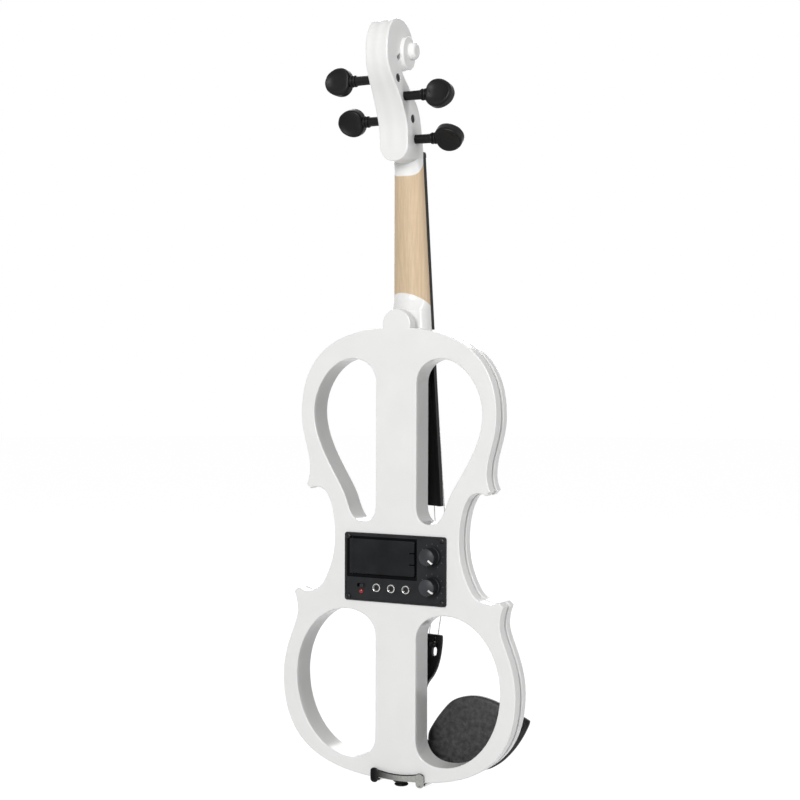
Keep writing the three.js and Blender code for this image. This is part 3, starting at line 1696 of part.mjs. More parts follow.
// The battery door, drawn about its hinge axis at its right edge
const batteryDoor = () => {
  const low = doorBottom - doorMiddleZ + seam;
  const high = doorTop - doorMiddleZ - seam;
  const face = doorHingeRadius;
  const back = face - doorThickness;
  const left = doorLeft + seam - doorAxisX;
  const halfWidth = -left / 2;
  const outline = roundedBox(left / 2, 0, halfWidth, (high - low) / 2, doorCornerRadius);
  const lid = plate(outline, [], [
    [face, doorBevel],
    [face - doorBevel, 0],
    [back, 0],
  ]);
  const barrel = bar(doorHingeRadius, low, high, "z", point3(0, 0, 0), smallSides);
  const pins = bar(doorPinRadius, low - doorPinLength, high + doorPinLength, "z", point3(0, 0, 0), wireSides);
  const slits = [-1, 1].map((side) => {
    const middle = (side * latchSlitSpacing) / 2;
    const half = latchSlitWidth / 2;
    const end = left + latchSlitLength;
    return box(left - overrun, end, back - overrun, face + overrun, middle - half, middle + half);
  });
  return join(cut(lid, ...slits), barrel, pins);
};

const trayBack = -seam;
const trayFront = pocketFront + seam;
const trayRight = doorRight - trayInset - trayWall;
const trayLeft = doorLeft + trayInset;
const trayBottom = doorBottom + trayInset;
const trayTop = doorTop - trayInset;
const batteryTray = () => {
  const outer = box(
    trayLeft - trayWall,
    trayRight + trayWall,
    trayFront,
    trayBack,
    trayBottom - trayWall,
    trayTop + trayWall,
  );
  const room = box(trayLeft, trayRight, trayFront + trayWall, overrun, trayBottom, trayTop);
  return cut(outer, room, hingeRoom());
};

const batteryRight = trayRight - seam;
const batteryLeft = batteryRight - batteryLength;
const batteryFront = trayFront + trayWall + seam;
const batteryMiddleY = batteryFront + batteryThickness / 2;
const terminalPlaces = [-1, 1].map((side) =>
  point3(batteryLeft, batteryMiddleY, doorMiddleZ + (side * terminalSpacing) / 2),
);
const battery = () => {
  const low = doorMiddleZ - batteryWidth / 2;
  const back = batteryFront + batteryThickness;
  const body = box(batteryLeft, batteryRight, batteryFront, back, low, low + batteryWidth);
  const studs = terminalPlaces.map((at) => bar(terminalRadius, -terminalHeight, seam, "x", at, smallSides));
  return join(body, ...studs);
};

const batteryClip = () => {
  const right = batteryLeft - seam;
  const left = right - terminalHeight - clipThickness;
  const plateBox = box(
    left,
    right,
    batteryMiddleY - clipDepth / 2,
    batteryMiddleY + clipDepth / 2,
    doorMiddleZ - clipWidth / 2,
    doorMiddleZ + clipWidth / 2,
  );
  const sockets = terminalPlaces.map((at) =>
    bar(terminalRadius + seam, -terminalHeight - seam, overrun, "x", at, smallSides),
  );
  return cut(plateBox, ...sockets);
};

const circuitBoard = () =>
  box(-boardHalfWidth, boardHalfWidth, boardFront, boardFront + boardThickness, boardBottom, boardTop);

// Controls, each drawn about its own middle on the panel's back face
const pot = () => {
  const half = potBodyHalfWidth;
  const can = box(-half, half, -potBodyDepth - seam, -seam, -half, half);
  const bush = bar(potBushRadius, -potBodyDepth / 2, panelThickness + seam, "y", point3(0, 0, 0));
  const bore = bar(potShaftRadius + seam, -potBodyDepth / 2, overrun, "y", point3(0, 0, 0));
  return cut(join(can, bush), bore);
};

const potShaft = () => {
  const top = panelThickness + seam * 2 + knobBoreDepth - seam;
  return bar(potShaftRadius, -potBodyDepth / 2 + seam, top, "y", point3(0, 0, 0));
};

const knob = () => {
  const low = panelThickness + seam * 2;
  const high = low + knobHeight;
  const middle = point3(0, 0, 0);
  const cap = turned(
    [
      [0, low],
      [knobBaseRadius, low],
      [knobBaseRadius, low + knobSkirtHeight * 0.4],
      [knobBaseRadius * 0.95, low + knobSkirtHeight],
      [knobCapRadius, high - knobDome * 2],
      [knobCapRadius * 0.93, high - knobDome],
      [knobCapRadius * 0.5, high - knobDome * 0.2],
      [0, high],
    ],
    "y",
    middle,
  );
  const bore = bar(potShaftRadius + seam, low - overrun, low + knobBoreDepth, "y", middle, smallSides);
  const from = knobCapRadius - pointerLength;
  const half = pointerWidth / 2;
  const floor = high - knobDome - pointerDepth;
  const line = box(from, knobCapRadius + overrun, floor, high + overrun, -half, half);
  return cut(cap, bore, line);
};

const jack = () => {
  const half = jackBodyHalfWidth;
  const middle = point3(0, 0, 0);
  const body = box(-half, half, -jackBodyDepth - seam, -seam, -half, half);
  const bush = bar(jackBushRadius, -jackBodyDepth / 2, panelThickness + jackNutHeight * 1.4, "y", middle);
  const nutLow = panelThickness + seam;
  const ring = bar(jackNutRadius, nutLow, nutLow + jackNutHeight, "y", middle);
  const bore = bar(jackBoreRadius, -jackBodyDepth * 0.9, overrun * 2, "y", middle, smallSides);
  return cut(join(body, bush, ring), bore);
};

const switchBody = () => {
  const halfX = switchSlotLength / 2 + switchBodyMargin;
  const halfZ = switchSlotWidth / 2 + switchBodyMargin / 2;
  const shell = box(-halfX, halfX, -switchBodyDepth - seam, -seam, -halfZ, halfZ);
  const roomX = switchSlotLength / 2;
  const roomZ = switchSlotWidth / 2;
  const room = box(-roomX, roomX, -switchBodyDepth / 2, overrun, -roomZ, roomZ);
  return cut(shell, room);
};

const switchSlider = () => {
  const halfX = switchTabLength / 2;
  const halfZ = switchSlotWidth / 2 - seam;
  const top = panelThickness + switchTabRise;
  const tab = box(-halfX, halfX, -switchBodyDepth / 2 + seam, top, -halfZ, halfZ);
  const ridges = [-1, 1].map((side) => {
    const middle = (side * halfX) / 2;
    const half = halfX / 6;
    return box(middle - half, middle + half, top - half, top + overrun, -halfZ * 2, halfZ * 2);
  });
  return cut(tab, ...ridges);
};

const led = () =>
  turned(
    [
      [0, -ledDepth],
      [ledRadius, -ledDepth],
      [ledRadius, panelThickness],
      [ledRadius * 0.75, panelThickness + ledRise * 0.7],
      [0, panelThickness + ledRise],
    ],
    "y",
    point3(0, 0, 0),
    smallSides,
  );

const panelScrew = () => {
  const low = panelThickness + seam;
  const middle = point3(0, 0, 0);
  const screw = turned(
    [
      [0, -panelScrewLength + low],
      [panelScrewRadius, -panelScrewLength + low + panelScrewRadius * 2],
      [panelScrewRadius, low],
      [panelScrewHeadRadius, low],
      [panelScrewHeadRadius * 0.7, low + panelScrewHeadHeight],
      [0, low + panelScrewHeadHeight],
    ],
    "y",
    middle,
    smallSides,
  );
  const half = screwRecessWidth / 2;
  const arm = panelScrewHeadRadius * 0.6;
  const floor = low + panelScrewHeadHeight * 0.4;
  const across = box(-arm, arm, floor, low + overrun, -half, half);
  const along = box(-half, half, floor, low + overrun, -arm, arm);
  return cut(screw, across, along);
};

// Assembly
const violin = new THREE.Group();
const frame = new THREE.Group();
const hangerY = glueY(hangerHeight) + neckDepth / 2;
frame.position.set(0, -hangerY, -hangerHeight);
violin.add(frame);

const place = (name, solid, material, parent = frame) => {
  const mesh = new THREE.Mesh(geometryOf(solid), material);
  mesh.name = name;
  parent.add(mesh);
  return mesh;
};

place("body_back", bodyBack(), whiteLacquer);
place("body_core", bodyCore(), maple);
place("body_front", bodyFront(), whiteLacquer);
place("neck", neck(), maple);
place("fingerboard", fingerboard(), blackSatin);
place("nut", nut(), blackSatin);
place("saddle", saddle(), blackSatin);
place("endpin", endpin(), blackSatin);
place("bridge", bridge(), maple);
place("bridge_pickup", pickup(), nickel);
place("pickup_lead", pickupLead(), grayWire);
place("tail_gut", tailGut(), blackRubber);

const tailFrame = new THREE.Group();
tailFrame.position.set(0, tailpieceRootY, tailpieceFoot);
tailFrame.rotation.x = tailpieceTurn;
frame.add(tailFrame);
place("tailpiece", tailpiece(), blackSatin, tailFrame);

const lever = place("tuner_lever", tunerLever(), nickel, tailFrame);
lever.position.set(tunerX, -leverPivotLift, leverPivot);
const screwPlace = point3(tunerX, 0, leverPivot - leverArm);
place("tuner_plate", tunerPlate(), nickel, tailFrame).position.copy(screwPlace);
place("tuner_screw", tunerScrew(), nickel, tailFrame).position.copy(screwPlace);

stringNames.forEach((name, i) => {
  place("string_" + name, violinString(name, i), steelWire);
  const at = pegPlace(name);
  const pegMesh = place("peg_" + name, peg(name), blackSatin);
  pegMesh.position.set(0, at.x, at.y);
  const facing = pegSides[name] > 0 ? 0 : Math.PI;
  pegMesh.rotation.set(degrees(pegTurns[name]), 0, facing, "XYZ");
});

place("chin_rest", chinRest(), blackSatin);
place("chin_rest_cork_g_side", chinRestCork(-1), cork);
place("chin_rest_cork_e_side", chinRestCork(1), cork);
place("clamp_front_bracket", frontBracket(), darkSteel);
place("clamp_back_bracket", backBracket(), darkSteel);
place("clamp_pad", clampPad(), blackRubber);
["g_side", "e_side"].forEach((side, i) => {
  const barrel = place("clamp_barrel_" + side, clampBarrel(), nickel);
  const at = clampPlaces[i];
  barrel.position.set(at.x, (barrelFront + barrelBack) / 2, at.z);
});

place("control_panel", controlPanel(), blackPlastic);
place("battery_tray", batteryTray(), blackPlastic);
place("battery", battery(), batteryCase);
place("battery_clip", batteryClip(), blackRubber);
place("circuit_board", circuitBoard(), greenBoard);
const door = place("battery_door", batteryDoor(), blackPlastic);
door.position.set(doorAxisX, doorAxisY, doorMiddleZ);

["volume", "tone"].forEach((name, i) => {
  const at = point3(knobX, panelBack, knobHeights[i]);
  place(name + "_pot", pot(), nickel).position.copy(at);
  place(name + "_shaft", potShaft(), whitePlastic).position.copy(at);
  const cap = place(name + "_knob", knob(), blackPlastic);
  cap.position.copy(at);
  cap.rotation.y = degrees(pointerTurns[i]);
});

["output_jack", "headphone_jack", "line_in_jack"].forEach((name, i) => {
  const at = jackPlaces[i];
  place(name, jack(), nickel).position.set(at.x, panelBack, at.z);
});

place("power_switch", switchBody(), nickel).position.set(switchX, panelBack, switchHeight);
const sliderX = switchX - switchTravel / 2;
place("power_switch_slider", switchSlider(), blackPlastic).position.set(sliderX, panelBack, switchHeight);
place("power_led", led(), redLens).position.set(ledX, panelBack, ledHeight);
screwPlaces.forEach((at, i) => {
  place("panel_screw_" + (i + 1), panelScrew(), darkSteel).position.set(at.x, panelBack, at.z);
});

export default violin;
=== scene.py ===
"""Looks of a 4/4 electric violin with a laminated skeleton body, laid out as a Blender add-on.

Sizes are millimetres in the body's frame: X to the right of someone who faces the strings,
-Y out of the strings' side, Z up the neck, from the middle of the bottom edge on the back face.
row() turns them into the CAD row's frame in metres.
"""

import math

import bmesh
import bpy
from mathutils import Matrix, Quaternion, Vector


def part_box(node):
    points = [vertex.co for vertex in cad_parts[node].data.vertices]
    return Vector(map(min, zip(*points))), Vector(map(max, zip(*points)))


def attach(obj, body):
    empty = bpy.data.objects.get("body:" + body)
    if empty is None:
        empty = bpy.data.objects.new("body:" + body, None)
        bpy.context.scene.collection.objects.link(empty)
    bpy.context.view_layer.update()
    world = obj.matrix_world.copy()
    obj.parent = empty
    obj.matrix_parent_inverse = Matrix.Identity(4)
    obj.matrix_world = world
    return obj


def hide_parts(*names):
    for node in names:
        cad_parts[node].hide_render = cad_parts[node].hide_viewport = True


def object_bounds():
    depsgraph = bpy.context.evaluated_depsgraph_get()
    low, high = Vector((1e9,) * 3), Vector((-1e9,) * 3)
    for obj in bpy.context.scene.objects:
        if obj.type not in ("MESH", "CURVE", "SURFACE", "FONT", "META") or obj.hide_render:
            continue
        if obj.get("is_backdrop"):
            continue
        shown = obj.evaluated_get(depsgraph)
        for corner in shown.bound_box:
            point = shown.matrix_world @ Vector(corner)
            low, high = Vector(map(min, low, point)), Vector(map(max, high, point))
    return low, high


bl_info = {
    "name": "Electric violin looks",
    "version": (1, 0, 0),
    "blender": (4, 5, 0),
    "location": "3D View > Sidebar > Violin",
    "description": "Builds the pieces, finishes, lights and camera of an electric violin",
    "category": "Object",
}

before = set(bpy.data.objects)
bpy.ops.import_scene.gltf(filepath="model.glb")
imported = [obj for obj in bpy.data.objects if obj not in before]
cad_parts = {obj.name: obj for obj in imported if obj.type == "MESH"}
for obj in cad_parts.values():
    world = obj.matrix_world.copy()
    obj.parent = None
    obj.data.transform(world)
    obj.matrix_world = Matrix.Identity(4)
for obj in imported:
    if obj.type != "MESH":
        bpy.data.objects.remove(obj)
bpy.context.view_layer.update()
MM = 0.001
BACK_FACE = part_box("body_back")[1].y / MM
BOTTOM_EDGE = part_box("body_back")[0].z / MM

# Body
BODY_LENGTH = 356
BODY_DEPTH = 22
UPPER_HALF = 86.4
WAIST_HALF = 55.2
LOWER_HALF = 103.3
BACK_SLAB = 9.3
GROOVE_HEIGHT = 3.8
BEAM_HALF = 17.9
BUTTON_RADIUS = 12.3
BUTTON_MIDDLE = 358
BUTTON_SHARE = 0.0665
UPPER_HOLE = (74.6, 202.8, 331.6)
LOWER_HOLE = (90.4, 14.6, 132.8)
POCKET = (-40.9, 40.9, 144, 190)
POCKET_FLOOR = -20
PANEL_MIDDLE = 167
UPPER_BOUT = [
    [0.718, 1, 1, 0.925, 1, 0.809],
    [1, 0.758, 0.909, 0.725, 0.909, 0.683],
    [0.909, 0.666, 0.926, 0.657, 0.944, 0.648],
    [0.9, 0.638],
]
WAIST = [
    [1.332, 0.645, 1.232, 0.645, 1.15, 0.632],
    [1.06, 0.615, 1, 0.579, 1, 0.537],
    [1, 0.494, 1.069, 0.461, 1.196, 0.428],
]
LOWER_BOUT = [
    [0.683, 0.409, 0.765, 0.403, 0.818, 0.406],
    [0.837, 0.408, 0.852, 0.41, 0.865, 0.411],
    [0.9, 0.402],
    [0.881, 0.39, 0.869, 0.376, 0.869, 0.36],
    [0.869, 0.331, 1, 0.281, 1, 0.211],
    [1, 0.047, 0.6, 0, 0, 0],
]
UPPER_CUT_OUT = [
    [0, 0.848],
    [0, 0.94, 0.16, 1, 0.381, 1],
    [0.69, 1, 1, 0.84, 1, 0.669],
    [1, 0.46, 0.601, 0.273, 0.487, 0.149],
    [0.434, 0.087, 0.39, 0, 0.213, 0],
    [0.07, 0, 0, 0.04, 0, 0.11],
]
LOWER_CUT_OUT = [
    [0, 0.824],
    [0, 0.934, 0.167, 1, 0.36, 1],
    [0.719, 1, 1, 0.782, 1, 0.528],
    [1, 0.215, 0.663, 0, 0.305, 0],
    [0.112, 0, 0, 0.063, 0, 0.164],
]

# Neck and fingerboard
NUT_HEIGHT = 490
OVERSTAND = 7.2
NECK_ANGLE = 3.12
NECK_HALF_AT_NUT = 12
BOARD_LENGTH = 276
BOARD_HALF_AT_END = 21
BOARD_SIDE = 4.8
BOARD_CAMBER = 42
BOARD_HOLLOW_END = 346
NECK_DEPTH = 11.8
NUT_RISE = 0.9
CLEAR_OF_BUTTON = 370.5
BARE_FROM = 382.5
BARE_TO = 474.8
BARE_EDGE = 0.3
BARE_CURVE_DEPTH = 6.2
HEEL_DEPTHS = [
    (345, 20), (356, 20), (368, 20), (370.4, 18.4), (374, 15.4), (378, 12.9), (382, 11.9),
]
CHIN_DEPTHS = [
    (473, 11.8), (480.2, 12.3), (485, 13.9), (488.4, 16.8), (491.2, 20.5), (494.1, 23.6), (497, 25.1),
]

# Head
HEAD_HEIGHT = 102.9
HEAD_REACH = 33
CHIN_HEIGHT = 7
PEGBOX_HALF = 12.7
SCROLL_HALF = 9.6
HEAD_BACK = [
    [-0.3, -0.06], [0.09, -0.054], [0.142, -0.012], [0.15, 0.072], [0.16, 0.144], [0.197, 0.216],
    [0.28, 0.288], [0.414, 0.371], [0.58, 0.453], [0.765, 0.53], [0.905, 0.603], [0.985, 0.671],
    [1, 0.745], [0.985, 0.82], [0.91, 0.893], [0.755, 0.959], [0.56, 0.993], [0.36, 1],
    [0.12, 0.987], [-0.09, 0.944], [-0.25, 0.88], [-0.31, 0.8], [-0.28, 0.733], [-0.19, 0.677],
]
HEAD_FRONT = [
    [-0.664, -0.068], [-0.66, -0.04], [-0.65, 0.01], [-0.632, 0.062], [-0.57, 0.144], [-0.508, 0.227],
    [-0.446, 0.299], [-0.342, 0.371], [-0.14, 0.446], [0.07, 0.52], [0.24, 0.577], [0.36, 0.638],
    [0.51, 0.702], [0.4, 0.74],
]
VOLUTE_MIDDLE = (0.2125, 0.752)
VOLUTE_RADIUS = 14.2
VOLUTE_FACE = (0.064, 0.753)
VOLUTE_FACE_RADIUS = 13
VOLUTE_FACE_NARROWING = 0.81
VOLUTE_STEP = 2.9
THROAT = [
    (17.9, 563.6), (15, 559.3), (11.6, 555.2), (9.2, 551.6), (4.5, 553), (6.6, 556.5), (9.6, 560.2),
    (10.8, 563.8),
]
THROAT_WALL = 5.2
FLUTE_LEAST = 0.1
EYE_MIDDLE = (-0.045, 0.7735)
EYE_RADIUS = 6.8
EYE_STEP = 4.8
HEAD_WIDTHS = [
    (0.072, 0.9), (0.185, 1), (0.288, 0.98), (0.391, 0.82), (0.494, 0.5), (0.597, 0.18), (0.694, 0),
    (1.02, 0),
]
SLOT_FLOOR = [
    [-0.052, 0.093], [0, 0.175], [0.104, 0.258], [0.27, 0.34], [0.435, 0.412],
    [0.611, 0.494], [0.757, 0.567], [0.81, 0.628], [0.8, 0.68], [0.72, 0.723],
]
SLOT_MOUTH = [[0.62, 0.704], [0.456, 0.618], [0.104, 0.577]]
SLOT_START = 7.2
SLOT_HALVES = (8.7, 4.9)

# Pegs: place on the head, side of the head and turn
PEGS = {
    "g": (-0.27, 0.1215, -1, -42),
    "e": (-0.109, 0.27, 1, -20),
    "d": (0.24, 0.427, -1, 10),
    "a": (0.515, 0.551, 1, 4),
}
PEG_REACH = 29
PEG_RADIUS = 3.7
PEG_TIP_RADIUS = 3.15
PEG_TIP_SHORT = 0.6
PEG_HOLE_ROOM = 0.25
PEG_COLLAR = 4.7
PEG_COLLAR_LENGTH = 2.4
PEG_HEAD_LENGTH = 24
PEG_HEAD_HALF = 10.8
PEG_HEAD_THICKNESS = 8.6
PEG_HEAD = [[0, 0.36], [0.05, 0.62], [0.17, 0.87], [0.34, 1], [0.55, 0.98], [0.76, 0.8], [0.92, 0.5], [1, 0]]

# Strings, bridge and tailpiece
STRINGS = ["g", "d", "a", "e"]
STRING_RADII = [0.42, 0.38, 0.34, 0.2]
STRING_TURNS = 3.2
STRING_TURN_STEPS = 20
NUT_SPREAD = 16.4
BRIDGE_SPREAD = 34
TAIL_SPREAD = 26.4
WINDINGS = {"g": -0.52, "e": 0.5, "d": -0.4, "a": 0.45}
BRIDGE_Z = 162
BRIDGE_HALF = 20.8
BRIDGE_HEIGHT = 37
BRIDGE_CROWN = 42
BRIDGE_FEET = -24.2
BRIDGE_THICKNESS = (4.4, 1.5)
PICKUP_BAR = ((-22, 22), (-23.9, -22.3), (BRIDGE_Z - 2.6, BRIDGE_Z + 2.6))
SADDLE = ((-14.4, 14.4), (-24.9, -19.7), (0.3, 4.6))
GUT_RADIUS = 1.05
GUT_LIFT = 1.4
ENDPIN_RADIUS = 4.3
TAIL_LENGTH = 105.2
TAIL_FOOT = 6
TAIL_HALF = 20.1
TAIL_THICKNESS = 6
TAIL_CAMBER = 46
TAIL_RISE = 6.8
TAIL_TILT = 7.6
TAIL_FRET = 103.9
KEYHOLE = 92.7
TAIL_OUTLINE = [
    [0.26, 0], [0.29, 0.02], [0.3, 0.08], [0.3, 0.3], [0.3, 0.48], [0.32, 0.56], [0.375, 0.61],
    [0.48, 0.645], [0.645, 0.685], [0.79, 0.735], [0.885, 0.785], [0.96, 0.85], [1, 0.93],
    [0.99, 0.985], [0.94, 1],
]
SEAM = 0.3

# Chin rest
REST_UNDER = -38.2
REST_GREY_DEPTH = 2.6
# X past which the chin rest's underside keeps its black colour, as painted shade.
REST_PAINTED_SHADE_FROM = -94
FOOT_HALF = 6
CORK_DEPTHS = (-23.7, -22.3)
CUP_MIDDLE = (-51, 36.4)
CUP_HALVES = (45.5, 28.5)
CUP_THICKNESS = 7.8
CUP_OUTLINE = [
    [0.95, -0.5], [0.94, -0.2], [0.84, 0.1], [0.68, 0.45], [0.48, 0.78], [0.22, 0.95],
    [-0.06, 0.99], [-0.38, 0.88], [-0.72, 0.65], [-0.96, 0.48], [-1, 0.41], [-0.95, 0.2],
    [-0.83, -0.14], [-0.66, -0.5], [-0.43, -0.84], [-0.14, -1.06], [0.3, -1.07], [0.66, -0.87],
]
CUP_RINGS = [
    [0.001, 0], [0.35, 0.02], [0.7, 0.06], [0.9, 0.16], [0.98, 0.32], [1, 0.55], [0.985, 0.86],
    [0.93, 1], [0.8, 0.93], [0.6, 0.72], [0.32, 0.56], [0.001, 0.52],
]
ARM = (-40, 32, 3.4, 19)
CLAMP_MIDDLE = -3.2
PAD_HALF = 16.6
FOOT_SPREAD = 40.4
ROD_RADIUS = 0.8
ROD_HEIGHT = -1.5
BARREL_DEPTH = -12.5

# Panel, its controls and the battery
PANEL_HALF = (45, 27)
PANEL_FACE = 1.8
PANEL_PLATE = 1.5
DOOR = (-18.4, 40.7, 161.3, 189.7)
HINGE = (38.3, 0.9, 2.1)
KNOB_X = -33
KNOB_LENGTH = 11.5
KNOB_TOP_RADIUS = 6.2
DIAL_MARKS = 11
DIAL_START = -60
DIAL_STEP = 30
DIAL_REACH = (8.9, 10.2)
KNOBS = {"volume": (178.8, 135), "tone": (155.4, 143)}
JACKS = {"output_jack": -10.6, "headphone_jack": 2.4, "line_in_jack": 15.4}
JACK_HEIGHT = 151.4
SWITCH_SLOT = (30.3, 152.4, 3.4, 1.6)
SWITCH_TAB = ((27.2, 30.4), (-2.4, 3.2), (151.1, 153.7))
LAMP_PLACE = (29.8, 0, 147.6)
SCREW_PLACES = (41.5, 24)
TERMINAL_REACH = 2.6
TERMINAL_SPREAD = 6.35

# Camera, light and floor
CAMERA_EYE = (-632.4, 1169.4, 332.6)
CAMERA_TARGET = (-3.69, 0, 299.3)
CAMERA_LENS = 76.585
CAMERA_ROLL = -0.161
LIT_MIDDLE = (0, -10, 250)
FLOOR_GREY = 0.62
FLOOR_GLOW = 1.28
FLOOR_GLOW_SHARE = 0.75


# Geometry helpers
def row(x, y, z):
    """A point of the body's frame in the row's frame, in metres."""
    return Vector((x, y + BACK_FACE, z + BOTTOM_EDGE)) * MM


def bezier(points, share):
    """A point on a cubic or straight stretch of 2-D points."""
    while len(points) > 1:
        points = [
            (a[0] + (b[0] - a[0]) * share, a[1] + (b[1] - a[1]) * share)
            for a, b in zip(points, points[1:])
        ]
    return points[0]


def trace(start, rows, across, up, steps):
    """Points along rows of stretches, whose handles and ends are shares of a width and a height."""
    points = [start]
    for shares in rows:
        ends = [(across(shares[i]), up(shares[i + 1])) for i in range(0, len(shares), 2)]
        count = steps if len(ends) > 1 else 2
        begin = points[-1]
        points += [bezier([begin, *ends], (k + 1) / count) for k in range(count)]
    return points


def spline(points, count):
    """A smooth curve through points of any dimension, as count + 1 points."""
    last = len(points) - 1
    made = []
    for k in range(count + 1):
        place = k * last / count
        i = min(int(place), last - 1)
        t = place - i
        a, b, c, d = (points[max(0, min(last, i + j))] for j in (-1, 0, 1, 2))
        made.append(tuple(
            0.5 * (
                2 * q + (r - p) * t + (2 * p - 5 * q + 4 * r - s) * t * t
                + (3 * q - p - 3 * r + s) * t ** 3
            )
            for p, q, r, s in zip(a, b, c, d)
        ))
    return made


def between(table, place):
    """The value at a place in a table of (place, value), straight between its rows."""
    if place <= table[0][0]:
        return table[0][1]
    for (low, first), (high, second) in zip(table, table[1:]):
        if place <= high:
            return first + (second - first) * (place - low) / (high - low)
    return table[-1][1]


def mirrored(points):
    return [(-x, z) for x, z in points]


def inset(loop, distance):
    """A loop moved inwards with mitred corners, and with the edges that turned round drawn together."""
    area = sum(a[0] * b[1] - b[0] * a[1] for a, b in zip(loop, loop[1:] + loop[:1]))
    sign = 1 if area > 0 else -1
    count = len(loop)

    def normal(a, b):
        along = Vector((b[0] - a[0], b[1] - a[1]))
        if along.length < 1e-9:
            return Vector((0, 0))
        along.normalize()
        return Vector((-along.y, along.x)) * sign

    moved = []
    for i, point in enumerate(loop):
        first = normal(loop[i - 1], point)
        middle = first + normal(point, loop[(i + 1) % count])
        if middle.length < 1e-9:
            middle = first
        middle.normalize()
        reach = distance / max(middle.dot(first), 0.6)
        moved.append(Vector(point) + middle * reach)
    for _ in range(12):
        folded = False
        for i in range(count):
            j = (i + 1) % count
            edge = Vector(loop[j]) - Vector(loop[i])
            if (moved[j] - moved[i]).dot(edge) < 0:
                moved[i] = moved[j] = (moved[i] + moved[j]) / 2
                folded = True
        if not folded:
            break
    return [tuple(point) for point in moved]


def angles(sweep, steps):
    return [sweep * k / steps for k in range(steps + 1)]


def circle(radius, steps, middle=(0, 0), start=0, sweep=360):
    closed = sweep == 360
    count = steps if closed else steps + 1
    turns = [math.radians(start + sweep * k / steps) for k in range(count)]
    return [(middle[0] + radius * math.cos(t), middle[1] + radius * math.sin(t)) for t in turns]


def rounded_box(x, z, half_width, half_height, radius, steps=5):
    radius = min(radius, half_width * 0.98, half_height * 0.98)
    loop = []
    for right, up, start in ((1, -1, -90), (1, 1, 0), (-1, 1, 90), (-1, -1, 180)):
        middle = (x + right * (half_width - radius), z + up * (half_height - radius))
        loop += circle(radius, steps, middle, start, 90)
    return loop


def sides_box(left, right, low, high, radius, steps=5):
    """A rounded box between its four sides."""
    return rounded_box(
        (left + right) / 2, (low + high) / 2, (right - left) / 2, (high - low) / 2, radius, steps,
    )


def quarter(radius, steps):
    """(depth, inset) pairs of a rounded edge, from the face to the wall."""
    return [(radius * (1 - math.cos(t)), radius * (1 - math.sin(t))) for t in angles(math.pi / 2, steps)]


def flat_place(x, z, y):
    return row(x, y, z)


# Modelling by operators
def only(obj):
    if bpy.context.object and bpy.context.object.mode != "OBJECT":
        bpy.ops.object.mode_set(mode="OBJECT")
    bpy.ops.object.select_all(action="DESELECT")
    obj.select_set(True)
    bpy.context.view_layer.objects.active = obj
    return obj


def edit(obj):
    only(obj)
    bpy.ops.object.mode_set(mode="EDIT")
    bpy.ops.mesh.select_all(action="SELECT")


def leave():
    bpy.ops.object.mode_set(mode="OBJECT")


def weld(obj, outward=True):
    edit(obj)
    bpy.ops.mesh.remove_doubles(threshold=2e-6)
    if outward:
        bpy.ops.mesh.normals_make_consistent(inside=False)
    leave()
    return obj


def skin(name, rings, closed=True):
    """A grid primitive laid over rings of equally many points in the row's frame."""
    bpy.ops.object.select_all(action="DESELECT")
    around = len(rings[0]) if closed else len(rings[0]) - 1
    bpy.ops.mesh.primitive_grid_add(x_subdivisions=around, y_subdivisions=len(rings) - 1, size=1)
    obj = bpy.context.object
    obj.name = name
    places = []
    for ring in rings:
        for point in [*ring, ring[0]] if closed else ring:
            places.extend(point)
    obj.data.vertices.foreach_set("co", places)
    obj.data.update()
    return obj


def joined(name, parts):
    """Several meshes as one object."""
    only(parts[0])
    for part in parts[1:]:
        part.select_set(True)
    if len(parts) > 1:
        bpy.ops.object.join()
    parts[0].name = name
    return parts[0]


def fill_where(obj, test):
    """Fills the open edges whose two ends pass a test."""
    edit(obj)
    bpy.ops.mesh.select_all(action="DESELECT")
    mesh = bmesh.from_edit_mesh(obj.data)
    chosen = [e for e in mesh.edges if e.is_boundary and all(test(v.co) for v in e.verts)]
    for edge in chosen:
        edge.select_set(True)
    bmesh.update_edit_mesh(obj.data)
    if chosen:
        bpy.ops.mesh.fill(use_beauty=False)
    leave()


def fill_ends(obj):
    """Fills every open loop by itself."""
    edit(obj)
    mesh = bmesh.from_edit_mesh(obj.data)
    left = {e for e in mesh.edges if e.is_boundary}
    loops = []
    while left:
        stack = [left.pop()]
        loop = list(stack)
        while stack:
            for vert in stack.pop().verts:
                for edge in vert.link_edges:
                    if edge in left:
                        left.remove(edge)
                        stack.append(edge)
                        loop.append(edge)
        loops.append([e.index for e in loop])
    leave()
    for loop in loops:
        edit(obj)
        bpy.ops.mesh.select_all(action="DESELECT")
        mesh = bmesh.from_edit_mesh(obj.data)
        mesh.edges.ensure_lookup_table()
        for index in loop:
            mesh.edges[index].select_set(True)
        bmesh.update_edit_mesh(obj.data)
        bpy.ops.mesh.edge_face_add()
        leave()


def loft(name, rings):
    """A closed solid over rings; a ring drawn to one point is a tip."""
    obj = weld(skin(name, rings), outward=False)
    fill_ends(obj)
    return weld(obj)


def slab(name, loops, levels, place, hole_levels=None):
    """Walls of a plate with holes. A level is (height, inset), and place puts a 2-D point at a height."""
    walls = []
    for number, loop in enumerate(loops):
        sign = 1 if number == 0 else -1
        used = levels if number == 0 or hole_levels is None else hole_levels
        rings = [[place(a, b, height) for a, b in inset(loop, side * sign)] for height, side in used]
        walls.append(skin(name, rings))
    return weld(joined(name, walls), outward=False)


